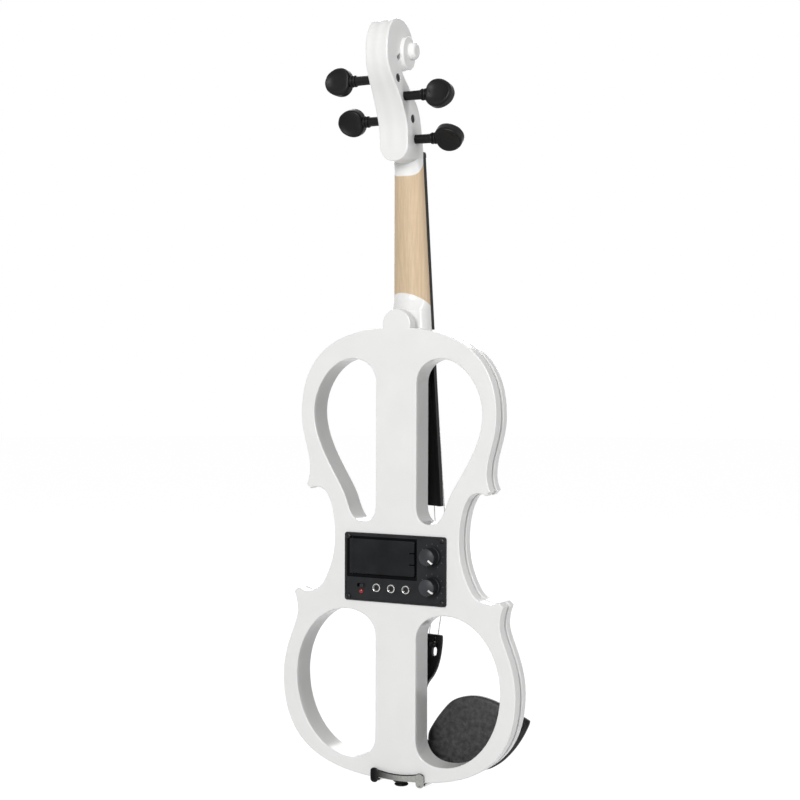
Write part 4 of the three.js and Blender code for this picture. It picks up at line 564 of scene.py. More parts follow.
def closed_slab(name, loops, levels, place, normal, hole_levels=None):
    """A slab whose first and last level are filled, told apart by their place along a direction."""
    obj = slab(name, loops, levels, place, hole_levels)
    along = Vector(normal)
    edit(obj)
    mesh = bmesh.from_edit_mesh(obj.data)
    heights = [v.co.dot(along) for e in mesh.edges if e.is_boundary for v in e.verts]
    middle = (min(heights) + max(heights)) / 2
    leave()
    fill_where(obj, lambda co: co.dot(along) < middle)
    fill_where(obj, lambda co: co.dot(along) > middle)
    return weld(obj)


def plate(name, loop, levels):
    """A solid of one outline parallel to the body's faces, whose levels are (Y, inset)."""
    return closed_slab(name, [loop], levels, flat_place, (0, 1, 0))


def lathe(name, profile, axis, middle, steps=48):
    """A profile of (radius, place along the axis) turned about an axis through a point."""
    rings = []
    for radius, along in profile:
        ring = []
        for a, b in circle(max(radius, 0), steps):
            offset = {"x": (along, a, b), "y": (a, along, b), "z": (a, b, along)}[axis]
            ring.append(row(*(m + o for m, o in zip(middle, offset))))
        rings.append(ring)
    return loft(name, rings)


def block(name, x, y, z, edge=0.4, steps=2):
    """A box between pairs of places, with its edges rounded."""
    bpy.ops.object.select_all(action="DESELECT")
    middle = row(sum(x) / 2, sum(y) / 2, sum(z) / 2)
    size = Vector((x[1] - x[0], y[1] - y[0], z[1] - z[0])) * MM
    bpy.ops.mesh.primitive_cube_add(size=1, location=middle, scale=size)
    obj = bpy.context.object
    obj.name = name
    bpy.ops.object.transform_apply(location=True, rotation=True, scale=True)
    edit(obj)
    bpy.ops.mesh.bevel(offset=edge * MM, segments=steps, affect="EDGES")
    leave()
    return obj


def wire(name, points, radius, sides=12, cyclic=False):
    """A round wire through points of the body's frame, capped at its ends."""
    bpy.ops.object.select_all(action="DESELECT")
    curve = bpy.data.curves.new(name, "CURVE")
    curve.dimensions = "3D"
    curve.bevel_depth = radius * MM
    curve.bevel_resolution = max(1, sides // 4 - 1)
    curve.use_fill_caps = not cyclic
    line = curve.splines.new("POLY")
    line.points.add(len(points) - 1)
    for point, at in zip(line.points, points):
        point.co = (*row(*at), 1)
    line.use_cyclic_u = cyclic
    obj = bpy.data.objects.new(name, curve)
    bpy.context.scene.collection.objects.link(obj)
    only(obj)
    bpy.ops.object.convert(target="MESH")
    return weld(bpy.context.object)


def apply_modifier(obj, kind, **settings):
    only(obj)
    modifier = obj.modifiers.new(kind.lower(), kind)
    for key, value in settings.items():
        setattr(modifier, key, value)
    bpy.ops.object.modifier_apply(modifier=modifier.name)
    return obj


def combine(obj, tool, operation="DIFFERENCE"):
    """Adds or takes away a solid, and stops where the result isn't a closed one."""
    apply_modifier(obj, "BOOLEAN", operation=operation, object=tool, solver="EXACT")
    weld(obj)
    mesh = bmesh.new()
    mesh.from_mesh(obj.data)
    leaks = sum(not edge.is_manifold for edge in mesh.edges)
    mesh.free()
    if leaks or not obj.data.polygons:
        raise RuntimeError(f"{obj.name} and {tool.name} left {leaks} open edges")
    bpy.data.objects.remove(tool)
    return obj


def soften(obj, width, steps=2, angle=35):
    """Rounds the edges that are sharper than an angle."""
    return apply_modifier(
        obj, "BEVEL", width=width * MM, segments=steps, limit_method="ANGLE",
        angle_limit=math.radians(angle), use_clamp_overlap=True,
    )


def slice_across(obj, places, normal):
    """Cuts new edges through an object at points in the row's frame."""
    edit(obj)
    for place in places:
        bpy.ops.mesh.select_all(action="SELECT")
        bpy.ops.mesh.bisect(plane_co=place, plane_no=normal)
    leave()


def copy_of(obj, name):
    only(obj)
    bpy.ops.object.duplicate(linked=False)
    made = bpy.context.object
    made.name = name
    return made


def moved(obj, matrix):
    obj.data.transform(matrix)
    return obj


def finished(obj, look, nodes=(), angle=32, even=True, body="violin"):
    """Shades a piece, gives it its finish, and hangs it on its body in place of CAD nodes."""
    only(obj)
    bpy.ops.object.shade_smooth_by_angle(angle=math.radians(angle))
    if even:
        apply_modifier(obj, "WEIGHTED_NORMAL", keep_sharp=True)
    obj.data.materials.clear()
    obj.data.materials.append(finish(look))
    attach(obj, body)
    if nodes:
        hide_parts(*nodes)
    return obj


def repaint(obj, look, test):
    """Gives the faces that pass a test a second finish."""
    obj.data.materials.append(finish(look))
    for face in obj.data.polygons:
        if test(face):
            face.material_index = 1


# Finishes
class Nodes:
    """Short ways to add nodes to a tree."""

    def __init__(self, tree):
        self.tree = tree

    def feed(self, socket, value):
        if isinstance(value, bpy.types.NodeSocket):
            self.tree.links.new(value, socket)
        else:
            socket.default_value = value

    def node(self, kind, **values):
        """A new node, with values for its sockets and for its other settings."""
        made = self.tree.nodes.new(kind)
        for key, value in values.items():
            name = key.replace("_", " ").title()
            if name in made.inputs:
                self.feed(made.inputs[name], value)
            else:
                setattr(made, key, value)
        return made

    def math(self, operation, first, second):
        made = self.node("ShaderNodeMath", operation=operation)
        self.feed(made.inputs[0], first)
        self.feed(made.inputs[1], second)
        return made.outputs["Value"]

    def map(self, value, low, high, to_low=0, to_high=1, curve="LINEAR"):
        made = self.node(
            "ShaderNodeMapRange", interpolation_type=curve, value=value,
            from_min=low, from_max=high, to_min=to_low, to_max=to_high,
        )
        return made.outputs["Result"]


class Finish(Nodes):
    """A node material around one Principled shader; place holds the object's own coordinates."""

    def __init__(self, name, colour, **sockets):
        self.material = bpy.data.materials.new(name)
        self.material.use_nodes = True
        super().__init__(self.material.node_tree)
        self.shader = self.tree.nodes["Principled BSDF"]
        self.place = self.node("ShaderNodeTexCoord").outputs["Object"]
        self.shader.inputs["Base Color"].default_value = (*colour, 1)
        for key, value in sockets.items():
            self.shader.inputs[key.replace("_", " ").title().replace("Ior", "IOR")].default_value = value

    def stretched(self, *scale):
        return self.node("ShaderNodeMapping", vector=self.place, scale=scale).outputs["Vector"]

    def noise(self, scale, detail=3, vector=None, roughness=0.5):
        made = self.node("ShaderNodeTexNoise", scale=scale, detail=detail, roughness=roughness)
        self.feed(made.inputs["Vector"], vector or self.place)
        return made.outputs["Fac"]

    def mix(self, share, first, second):
        made = self.node("ShaderNodeMix", data_type="RGBA")
        for name, value in (("Factor_Float", share), ("A_Color", first), ("B_Color", second)):
            socket = next(s for s in made.inputs if s.identifier == name)
            self.feed(socket, (*value, 1) if isinstance(value, tuple) else value)
        return next(s for s in made.outputs if s.identifier == "Result_Color")

    def set(self, socket, value):
        self.tree.links.new(value, self.shader.inputs[socket])

    def paint(self, pattern, low, high, first, second):
        """Colours the surface from one colour to another while a pattern goes from low to high."""
        self.base = self.mix(self.map(pattern, low, high), first, second)
        self.set("Base Color", self.base)

    def matt(self, pattern, low, high):
        """Makes the surface more or less rough by a noise."""
        self.set("Roughness", self.map(pattern, 0.3, 0.7, low, high))

    def bump(self, height, depth):
        """Raises the surface by a height from 0 to 1 times a depth in millimetres."""
        made = self.node("ShaderNodeBump", strength=1, distance=depth * MM, height=height)
        self.set("Normal", made.outputs["Normal"])


def linear(red, green, blue):
    """A colour written from 0 to 255 as the renderer's linear one."""
    shares = [c / 255 for c in (red, green, blue)]
    return tuple(s / 12.92 if s <= 0.04045 else ((s + 0.055) / 1.055) ** 2.4 for s in shares)


def shaded(colour, share):
    return tuple(c * share for c in colour)


def lacquer_finish(name, look):
    """Sprayed lacquer: nearly flat, with a faint ripple and cloud."""
    colour = tuple(look.lacquer)
    rough = look.lacquer_roughness
    made = Finish(
        name, colour, roughness=rough, specular_ior_level=0.25, coat_weight=0.2, coat_roughness=0.08,
    )
    made.paint(made.noise(38, 2), 0.35, 0.65, shaded(colour, 0.975), colour)
    made.matt(made.noise(2600, 1), rough * 0.85, rough * 1.2)
    made.bump(made.noise(420, 2), 0.01)
    return made


def maple_colour(made, colour):
    """Long grain with darker pores and a faint cross flame."""
    grain = made.noise(1, 6, made.stretched(900, 900, 26))
    pores = made.noise(1, 3, made.stretched(3200, 3200, 90))
    flame = made.noise(1, 2, made.stretched(30, 30, 150))
    base = made.mix(made.map(grain, 0.3, 0.7), shaded(colour, 0.84), shaded(colour, 1.05))
    flamed = made.mix(made.map(flame, 0.4, 0.65, 0, 0.3), base, shaded(colour, 0.9))
    return made.mix(made.map(pores, 0.62, 0.75, 0, 0.35), flamed, shaded(colour, 0.55)), grain


def maple_finish(name, look):
    colour = tuple(look.maple)
    made = Finish(name, colour, roughness=0.42, coat_weight=0.1, coat_roughness=0.25)
    painted, grain = maple_colour(made, colour)
    made.set("Base Color", painted)
    made.matt(grain, 0.36, 0.5)
    made.bump(grain, 0.02)
    return made


def neck_finish(name, look):
    """Bare maple on the shaft, lacquer on the heel and the head, with soft edges between them."""
    colour = tuple(look.maple)
    white = tuple(look.lacquer)
    edge = BARE_EDGE * MM
    made = Finish(name, white, specular_ior_level=0.25, coat_roughness=0.08)
    painted, grain = maple_colour(made, colour)
    across, depth, height = made.node("ShaderNodeSeparateXYZ", vector=made.place).outputs
    heel_edge = made.math("ADD", made.math("MULTIPLY", depth, 0.6), row(0, 0, BARE_FROM).z)
    heel_edge = made.math("ADD", heel_edge, made.math("MULTIPLY", across, 0.15))
    over_heel = made.map(made.math("SUBTRACT", height, heel_edge), -edge, edge)
    from_back = made.math("MAXIMUM", made.math("SUBTRACT", BARE_CURVE_DEPTH * MM, depth), 0)
    head_edge = made.math("MULTIPLY", made.math("MULTIPLY", from_back, from_back), 80)
    head_edge = made.math("ADD", head_edge, row(0, 0, BARE_TO).z)
    under_head = made.map(made.math("SUBTRACT", head_edge, height), -edge, edge)
    bare = made.math("MULTIPLY", over_heel, under_head)
    made.set("Base Color", made.mix(bare, white, painted))
    made.set("Roughness", made.map(bare, 0, 1, look.lacquer_roughness, 0.46))
    made.set("Coat Weight", made.map(bare, 0, 1, 0.3, 0.05))
    made.bump(made.math("MULTIPLY", grain, bare), 0.015)
    return made


def black_finish(name, colour, roughness, grain=1400, depth=0.01, shine=0.2):
    """Satin wood or plastic with a fine mottle."""
    made = Finish(name, colour, specular_ior_level=shine)
    mottle = made.noise(grain, 4)
    made.paint(made.noise(60, 4), 0.35, 0.65, shaded(colour, 0.75), shaded(colour, 1.3))
    made.matt(mottle, roughness * 0.85, roughness * 1.18)
    made.bump(mottle, depth)
    return made


def rest_finish(name, under, over):
    """Moulded plastic that is satin black above and left grey and mottled underneath, with painted shade:
    past a set X the underside's outer end stays black.
    """
    made = black_finish(name, over, 0.42, 700, 0.03)
    place = made.node("ShaderNodeSeparateXYZ", vector=made.place).outputs
    below = row(0, REST_UNDER - REST_GREY_DEPTH, 0).y
    # Painted shade: past this X the underside keeps the black top colour, standing in for shade on the cup's
    # outer end.
    painted_shade_from = row(REST_PAINTED_SHADE_FROM, 0, 0).x
    underneath = made.map(place["Y"], below - 0.0008, below + 0.0008, 0, 1, "SMOOTHSTEP")
    inside = made.map(place["X"], painted_shade_from - 0.002, painted_shade_from + 0.002, 0, 1, "SMOOTHSTEP")
    patches = made.noise(230, 6, None, 0.65)
    mottled = made.mix(made.map(patches, 0.36, 0.64), shaded(under, 0.6), shaded(under, 1.4))
    made.set("Base Color", made.mix(made.math("MULTIPLY", underneath, inside), made.base, mottled))
    return made


def ebony_finish(name, colour, roughness):
    """Black wood with fine pores along its length."""
    made = Finish(name, colour, specular_ior_level=0.12)
    pores = made.noise(1, 5, made.stretched(2400, 2400, 160))
    made.paint(pores, 0.4, 0.7, shaded(colour, 0.8), shaded(colour, 1.5))
    made.matt(pores, roughness * 0.85, roughness * 1.2)
    made.bump(pores, 0.012)
    return made


def metal_finish(name, colour, roughness, scratch=(600, 600, 600)):
    made = Finish(name, colour, metallic=1.0)
    brushed = made.noise(1, 3, made.stretched(*scratch))
    made.paint(brushed, 0.35, 0.65, shaded(colour, 0.9), colour)
    made.matt(brushed, roughness * 0.75, roughness * 1.3)
    made.bump(brushed, 0.004)
    return made


def bracket_finish(name, dark, pale):
    """Polished steel with painted reflection: its colour runs from dark at one end to bright at the other,
    standing in for the dark surroundings and highlights it reflects.
    """
    made = metal_finish(name, pale, 0.3)
    across = made.node("ShaderNodeSeparateXYZ", vector=made.place).outputs["X"]
    # Painted reflection: dark at the +X end and bright towards the -X end, laid into the colour rather than
    # left to the lamps.
    share = made.map(across, row(18, 0, 0).x, row(-12, 0, 0).x, 0, 1, "SMOOTHSTEP")
    bright = made.mix(made.map(made.noise(500, 4), 0.35, 0.65), shaded(pale, 0.85), pale)
    made.set("Base Color", made.mix(share, dark, bright))
    return made


def wound_finish(name, colour):
    """A string's flat winding, as fine rings along its length."""
    made = Finish(name, colour, metallic=1.0)
    rings = made.node("ShaderNodeTexWave", bands_direction="Z", scale=900, vector=made.place)
    worn = made.noise(300, 3)
    made.matt(worn, 0.22, 0.4)
    made.paint(worn, 0.35, 0.65, shaded(colour, 0.8), colour)
    made.bump(rings.outputs["Fac"], 0.05)
    return made


def cork_finish(name, colour):
    made = Finish(name, colour)
    grains = made.node("ShaderNodeTexVoronoi", scale=900, vector=made.place)
    speck = made.noise(2200, 4)
    made.paint(speck, 0.4, 0.68, colour, shaded(colour, 0.45))
    made.matt(speck, 0.75, 0.95)
    made.bump(grains.outputs["Distance"], 0.15)
    return made


def lens_finish(name, colour):
    made = Finish(name, colour, transmission_weight=0.35, ior=1.5)
    cloud = made.noise(900, 2)
    made.paint(cloud, 0.3, 0.7, colour, shaded(colour, 1.3))
    made.matt(cloud, 0.08, 0.2)
    return made


def board_finish(name, colour):
    made = Finish(name, colour)
    weave = made.noise(1500, 3)
    tracks = made.node("ShaderNodeTexBrick", scale=320, vector=made.place).outputs["Fac"]
    made.set("Base Color", made.mix(made.map(tracks, 0, 1, 0, 0.6), colour, shaded(colour, 2.2)))
    made.matt(weave, 0.4, 0.6)
    made.bump(weave, 0.02)
    return made


# Sizes and colours that a user would change
def length(name, description, default, low, high):
    return bpy.props.FloatProperty(
        name=name, description=description, default=default * MM, min=low * MM, max=high * MM, unit="LENGTH",
    )


def tint(name, description, default):
    return bpy.props.FloatVectorProperty(
        name=name, description=description, default=default, size=3, min=0, max=1, subtype="COLOR",
    )


def share_of(name, description, default):
    return bpy.props.FloatProperty(
        name=name, description=description, default=default, min=0, max=1, subtype="FACTOR",
    )


def power(name, description, default):
    return bpy.props.FloatProperty(
        name=name, description=description, default=default, min=0, max=500, unit="POWER",
    )


class ViolinColours(bpy.types.PropertyGroup):
    """Colours of the violin."""

    lacquer: tint("Lacquer", "Colour of the body, the heel and the head", linear(234, 234, 233))
    lacquer_roughness: share_of("Lacquer roughness", "How matt the lacquer is", 0.22)
    maple: tint("Maple", "Colour of the bare neck", linear(212, 188, 157))
    ebony: tint("Fittings", "Colour of the fingerboard, pegs and tailpiece", linear(14, 14, 14))
    rest: tint("Chin rest", "Colour of the chin rest", linear(62, 62, 62))
    plastic: tint("Panel", "Colour of the control panel and its door", linear(30, 31, 33))
    lamp: tint("Lamp", "Colour of the power lamp", linear(158, 18, 22))


class ViolinSizes(bpy.types.PropertyGroup):
    """Sizes that can be set without moving a joint."""

    groove_depth: length("Groove depth", "How far the core is set back between the slabs", 1.8, 0.2, 4)
    back_edge: length("Back edge", "Rounding of the edges of the back face", 0.9, 0.2, 2)
    front_edge: length("Front edge", "Rounding of the edges of the face under the strings", 2, 0.2, 4)
    lean: length("Front lean", "How far the front slab's side leans in", 0.3, 0, 2)
    flute_depth: length("Flute depth", "Depth of the two flutes down the back of the head", 0.42, 0, 1.5)
    head_edge: length("Head edge", "Rounding of the edges of the head", 1.1, 0.2, 2)
    knob_dome: length("Knob dome", "How far the top of a knob bulges", 1.2, 0.1, 2)


class ViolinStage(bpy.types.PropertyGroup):
    """Light and floor."""

    key_light: power("Key light", "Power of the main lamp", 71)
    side_light: power("Side light", "Power of the lamp level with the body's edge", 13)
    fill_light: power("Fill light", "Power of the lamps over and before the object", 1.6)
    sky: bpy.props.FloatProperty(
        name="Sky", description="Strength of the even light from all sides", default=0.06, min=0, max=2,
    )


GROUPS = {"violin_colours": ViolinColours, "violin_sizes": ViolinSizes, "violin_stage": ViolinStage}


def settings():
    """The colours, the sizes and the stage."""
    return [getattr(bpy.context.scene, name) for name in GROUPS]


FINISHES = {}


def finish(name):
    return FINISHES[name].material


def make_finishes():
    colours = settings()[0]
    ebony = tuple(colours.ebony)
    plastic = tuple(colours.plastic)
    FINISHES.update({
        "lacquer": lacquer_finish("white lacquer", colours),
        "neck": neck_finish("maple and lacquer", colours),
        "maple": maple_finish("bare maple", colours),
        "ebony": ebony_finish("black stained wood", ebony, 0.42),
        "fitting": black_finish("satin black fitting", ebony, 0.4, 900, 0.008, 0.16),
        "chin rest": rest_finish("moulded chin rest", tuple(colours.rest), ebony),
        "panel": black_finish("moulded panel", plastic, 0.46, 1500, 0.03, 0.16),
        "door": black_finish("moulded door", shaded(plastic, 0.8), 0.42, 1500, 0.03, 0.1),
        # Painted light and shade: the knob's top is the panel plastic at 2.6 times its colour and its side at
        # 0.6 times, a lit and a shaded copy of one plastic; the switch tab uses the lit copy.
        "knob": black_finish("knob top painted light", shaded(plastic, 2.6), 0.38, 1200, 0.01),
        "knob side painted shade": black_finish("knob side painted shade", shaded(plastic, 0.6), 0.45, 1200, 0.02, 0.08),
        # Painted shade: the door's recess is the panel plastic at 0.3 times its colour, dark where the door
        # shades it; the battery tray uses the same dark colour.
        "recess": black_finish("door recess painted shade", shaded(plastic, 0.3), 0.7, 1200, 0.02, 0.04),
        "rubber": black_finish("rubber", linear(22, 22, 22), 0.75, 900, 0.03),
        "nickel": metal_finish("bright nickel", linear(214, 214, 212), 0.16),
        "steel": metal_finish("dark steel", linear(104, 104, 102), 0.3),
        # The clamp's back band: steel with painted reflection, dark at one end and pale at the other.
        "bracket": bracket_finish("bracket with painted reflection", linear(26, 26, 26), linear(160, 160, 157)),
        "screw": metal_finish("black screw", linear(52, 52, 52), 0.35),
        "string": wound_finish("string winding", linear(196, 196, 192)),
        "socket": metal_finish("socket bush", linear(120, 120, 120), 0.1),
        "silver": metal_finish("plain string", linear(205, 205, 202), 0.2),
        "cork": cork_finish("cork", linear(172, 124, 80)),
        "white plastic": black_finish("white plastic", linear(228, 228, 226), 0.4, 900, 0.005, 0.5),
        "marks": black_finish("moulded marks", linear(88, 89, 90), 0.5, 900, 0.005),
        "lamp": lens_finish("red lens", tuple(colours.lamp)),
        "board": board_finish("circuit board", linear(31, 91, 52)),
        "battery": metal_finish("battery jacket", linear(70, 74, 80), 0.38, (300, 300, 900)),
        "wire": black_finish("lead sleeve", linear(60, 60, 60), 0.5, 900, 0.01),
    })


# Body
def body_outline(button):
    """The body's edge from the middle of the top round the right side, with the neck's button or without."""
    def across(half):
        return lambda share: share * half

    def up(share):
        return share * BODY_LENGTH

    steps = 16
    first = UPPER_BOUT[0]
    top = [(0, BODY_LENGTH)] + [(across(UPPER_HALF)(first[i]), up(first[i + 1])) for i in (0, 2, 4)]
    top_steps = 10
    sink = math.degrees(math.asin((BUTTON_MIDDLE - bezier(top, BUTTON_SHARE)[1]) / BUTTON_RADIUS))
    right = []
    for k in range(top_steps):
        if button:
            turn = math.radians(90 - (90 + sink) * k / top_steps)
            right.append((BUTTON_RADIUS * math.cos(turn), BUTTON_MIDDLE + BUTTON_RADIUS * math.sin(turn)))
        else:
            right.append(bezier(top, BUTTON_SHARE * k / top_steps))
    right += [bezier(top, BUTTON_SHARE + (1 - BUTTON_SHARE) * k / steps) for k in range(steps + 1)]
    right += trace(right[-1], UPPER_BOUT[1:], across(UPPER_HALF), up, steps)[1:]
    right += trace(right[-1], WAIST, across(WAIST_HALF), up, steps)[1:]
    right += trace(right[-1], LOWER_BOUT[:-1], across(LOWER_HALF), up, 10)[1:]
    right += trace(right[-1], LOWER_BOUT[-1:], across(LOWER_HALF), up, 32)[1:]
    return right + mirrored(right[1:-1])[::-1]


def cut_out(rows, size, steps=14):
    half, bottom, top = size

    def across(share):
        return BEAM_HALF + share * (half - BEAM_HALF)

    def up(share):
        return bottom + share * (top - bottom)

    start = (across(rows[-1][-2]), up(rows[-1][-1]))
    return trace(start, rows, across, up, steps)[:-1]


class VIOLIN_OT_body(bpy.types.Operator):
    """Build the body: two slabs, a core set back between them, four cut-outs and the electronics pocket"""

    bl_idname = "violin.body"
    bl_label = "Body"

    def execute(self, context):
        sizes = settings()[1]
        back, front = sizes.back_edge / MM, sizes.front_edge / MM
        groove = sizes.groove_depth / MM
        plain = body_outline(False)
        buttoned = body_outline(True)
        slab_edge = -BACK_SLAB
        core_edge = -BACK_SLAB - GROOVE_HEIGHT
        lip = 0.25
        outer = [(-depth, side, buttoned) for depth, side in quarter(back, 4)]
        outer += [(slab_edge + lip, 0, buttoned), (slab_edge, lip, buttoned), (slab_edge, groove, plain)]
        outer += [(core_edge, groove, plain), (core_edge, 2 * lip, plain), (core_edge - 2 * lip, 0, plain)]
        lean = sizes.lean / (front - BODY_DEPTH - core_edge) / MM
        outer += [
            (-BODY_DEPTH + depth, side + lean * (depth - BODY_DEPTH - core_edge), plain)
            for depth, side in quarter(front, 6)[::-1]
        ]
        parts = [skin("wall", [[row(x, y, z) for x, z in inset(loop, side)] for y, side, loop in outer])]
        holes = [cut_out(UPPER_CUT_OUT, UPPER_HOLE), cut_out(LOWER_CUT_OUT, LOWER_HOLE)]
        holes += [mirrored(hole) for hole in holes]
        walls = [(-depth, -side) for depth, side in quarter(back, 4)]
        walls += [(-BODY_DEPTH + depth, -side) for depth, side in quarter(front, 6)[::-1]]
        for hole in holes:
            parts.append(skin("hole", [[row(x, y, z) for x, z in inset(hole, side)] for y, side in walls]))
        pocket = sides_box(*POCKET, 2)
        parts.append(skin("pocket", [[row(x, y, z) for x, z in pocket] for y in (0, POCKET_FLOOR)]))
        body = weld(joined("body_laminated", parts), outward=False)
        back_y = row(0, -0.01, 0).y
        front_y = row(0, -BODY_DEPTH + 0.01, 0).y
        floor_y = row(0, POCKET_FLOOR, 0).y
        fill_where(body, lambda co: co.y > back_y)
        fill_where(body, lambda co: co.y < front_y)
        fill_where(body, lambda co: abs(co.y - floor_y) < 1e-5)
        weld(body)
        finished(body, "lacquer", ("body_back", "body_core", "body_front"))
        return {"FINISHED"}


# Neck
def glue_y(z):
    return -BODY_DEPTH - OVERSTAND + (z - BODY_LENGTH) * math.tan(math.radians(NECK_ANGLE))


def neck_half(z):
    way = (NUT_HEIGHT - z) / BOARD_LENGTH
    return NECK_HALF_AT_NUT + (BOARD_HALF_AT_END - NECK_HALF_AT_NUT) * way


def head_point(share):
    return share[0] * HEAD_REACH, NUT_HEIGHT + share[1] * HEAD_HEIGHT


def head_half(z):
    """Half width of the head at a height, with its round chin."""
    place = (z - NUT_HEIGHT) / HEAD_HEIGHT
    chin = NUT_HEIGHT + CHIN_HEIGHT
    full = SCROLL_HALF + between(HEAD_WIDTHS, place) * (PEGBOX_HALF - SCROLL_HALF)
    if z >= chin:
        return full
    drop = min(1, (chin - z) / full)
    return max(0.6, full * math.sqrt(1 - drop * drop))


def neck_shaft():
    """Rings of the shaft, round behind and flat under the fingerboard."""
    rings = []
    depths = spline(HEEL_DEPTHS, 24) + [(z, NECK_DEPTH) for z in (390, 405, 420, 435, 450, 462)]
    for z, depth in depths + spline(CHIN_DEPTHS, 24):
        half = neck_half(z) - 0.1
        deep = min(depth, -BACK_SLAB - glue_y(z)) if z < CLEAR_OF_BUTTON else depth
        rings.append([
            row(half * math.cos(t), glue_y(z) + deep * math.sin(t), z) for t in angles(math.pi, 30)
        ])
    return loft("neck_carved", rings)


def head_block(sizes):
    """The pegbox and the outer turn: rings from the back curve to the front, with two flutes behind."""
    centre = head_point(VOLUTE_MIDDLE)
    under = circle(VOLUTE_RADIUS, 4, centre, 250, 68)
    outer = [head_point(share) for share in HEAD_BACK] + under
    back = spline(outer, 6 * (len(outer) - 1))
    front = spline([head_point(share) for share in HEAD_FRONT] + [centre], 6 * len(HEAD_FRONT))
    front += [centre] * (len(back) - len(front))
    edge = sizes.head_edge / MM
    flute = sizes.flute_depth / MM
    across = 28
    rings = []
    for (by, bz), (fy, fz) in zip(back, front):
        inward = Vector((fy - by, fz - bz))
        inward.normalize()
        wide = head_half(bz)
        fade = min(1, max(FLUTE_LEAST, (bz - NUT_HEIGHT) / 12))
        ring = []
        for k in range(across + 1):
            share = math.sin(math.pi * (k / across - 0.5))
            x = share * wide
            rim = edge - math.sqrt(max(0, edge ** 2 - max(0, abs(x) - (wide - edge)) ** 2))
            scoop = fade * flute * math.sin(math.pi * min(1, abs(x) / max(1, wide - edge))) ** 2
            sunk = rim + scoop + 0.06
            ring.append(row(x, by + inward.x * sunk, bz + inward.y * sunk))
        narrow = head_half(max(fz, NUT_HEIGHT + CHIN_HEIGHT))
        narrow = min(narrow, neck_half(NUT_HEIGHT) + 0.05 * (fz - NUT_HEIGHT + 5))
        ring += [row(narrow * (1 - k / 2), fy, fz) for k in range(5)]
        rings.append(ring)
    return loft("head", rings)


def boss(name, middle, radius, inner, outer, edge, dish, narrowing):
    """Turned bosses on the two sides of the head, with a rounded edge and a slightly hollow end."""
    profile = [(0, inner), (radius, inner)]
    profile += [
        (radius - edge + edge * math.cos(t), outer - edge + edge * math.sin(t))
        for t in angles(math.pi / 2, 6)
    ]
    profile += [
        ((radius - edge) * share, outer - dish * (1 - share * share)) for share in (0.85, 0.6, 0.3, 0)
    ]
    centre = row(0, *middle)
    narrow = Matrix.Translation(centre) @ Matrix.Scale(narrowing, 4, (0, 1, 0)) @ Matrix.Translation(-centre)
    made = []
    for side in (-1, 1):
        turned = lathe(name, [(r, side * x) for r, x in profile], "x", (0, *middle), 64)
        made.append(moved(turned, narrow))
    return made


def peg_frame(name):
    """Moves a peg drawn along X from the origin to its place on the head."""
    reach, height, side, turn = PEGS[name]
    y, z = head_point((reach, height))
    facing = Matrix.Rotation(0 if side > 0 else math.pi, 4, "Z")
    return Matrix.Translation(row(0, y, z)) @ Matrix.Rotation(math.radians(turn), 4, "X") @ facing


def peg_length(name):
    return head_half(head_point(PEGS[name][:2])[1]) - SEAM


def drawn_at_origin(obj):
    """Moves a piece that was drawn about the body's origin to the row's own origin."""
    return moved(obj, Matrix.Translation(-row(0, 0, 0)))


class VIOLIN_OT_neck(bpy.types.Operator):
    """Build the neck with its heel, pegbox and scroll in one piece"""

    bl_idname = "violin.neck"
    bl_label = "Neck and scroll"

    def execute(self, context):
        sizes = settings()[1]
        neck = neck_shaft()
        combine(neck, head_block(sizes), "UNION")
        slot_top = head_point(SLOT_FLOOR[-1])[1] + 3
        side = spline([head_point(share) for share in SLOT_FLOOR], 36)
        side += [head_point(share) for share in SLOT_MOUTH]
        front = glue_y(NUT_HEIGHT) - 3
        start = NUT_HEIGHT + SLOT_START
        side += [(front, head_point((0, 0.494))[1]), (front, start), (side[0][0], start)]
        low_half, high_half = SLOT_HALVES

        def slot_place(y, z, share):
            way = (z - NUT_HEIGHT) / (slot_top - NUT_HEIGHT)
            return row(share * (low_half + (high_half - low_half) * way), y, z)

        slot = closed_slab("slot", [side], [(-1, 0), (1, 0)], slot_place, (1, 0, 0))
        combine(neck, slot)
        for name in PEGS:
            tip = -peg_length(name)
            narrow, wide = PEG_TIP_RADIUS + PEG_HOLE_ROOM, PEG_RADIUS + PEG_HOLE_ROOM
            profile = [(0, tip - 4), (narrow, tip - 4), (narrow, tip), (wide, PEG_REACH), (0, PEG_REACH)]
            hole = moved(drawn_at_origin(lathe("hole", profile, "x", (0, 0, 0), 32)), peg_frame(name))
            combine(neck, hole)
        for side in (-1, 1):
            levels = [(x, 0) for x in sorted((side * THROAT_WALL, side * (SCROLL_HALF + 3)))]
            throat = closed_slab("throat", [THROAT], levels, lambda y, z, x: row(x, y, z), (1, 0, 0))
            combine(neck, throat)
        face = SCROLL_HALF + VOLUTE_STEP
        turned = boss(
            "volute", head_point(VOLUTE_FACE), VOLUTE_FACE_RADIUS, THROAT_WALL - 0.1, face, 0.9, 0.5,
            VOLUTE_FACE_NARROWING,
        )
        turned += boss(
            "eye", head_point(EYE_MIDDLE), EYE_RADIUS, SCROLL_HALF, face + EYE_STEP, 2.6, 0.15, 0.9,
        )
        neck = joined("neck_carved", [neck, *turned])
        finished(neck, "neck", ("neck",), 34)
        return {"FINISHED"}


def camber(x, half):
    """How far the arch over the fingerboard and the nut rises above its edge."""
    return math.sqrt(BOARD_CAMBER ** 2 - x ** 2) - math.sqrt(BOARD_CAMBER ** 2 - half ** 2)


def arched_ring(z, bottom, half, top):
    """A flat bottom and an arch over it, where top gives the arch's Y at an X."""
    ring = [row(-half, bottom, z), row(half, bottom, z)]
    return ring + [row(x, top(x), z) for x in (half * (1 - k / 8) for k in range(17))]


def board_ring(z, bottom, side, margin):
    half = neck_half(z) - margin
    return arched_ring(z, bottom, half, lambda x: glue_y(z) - side - camber(x, half))


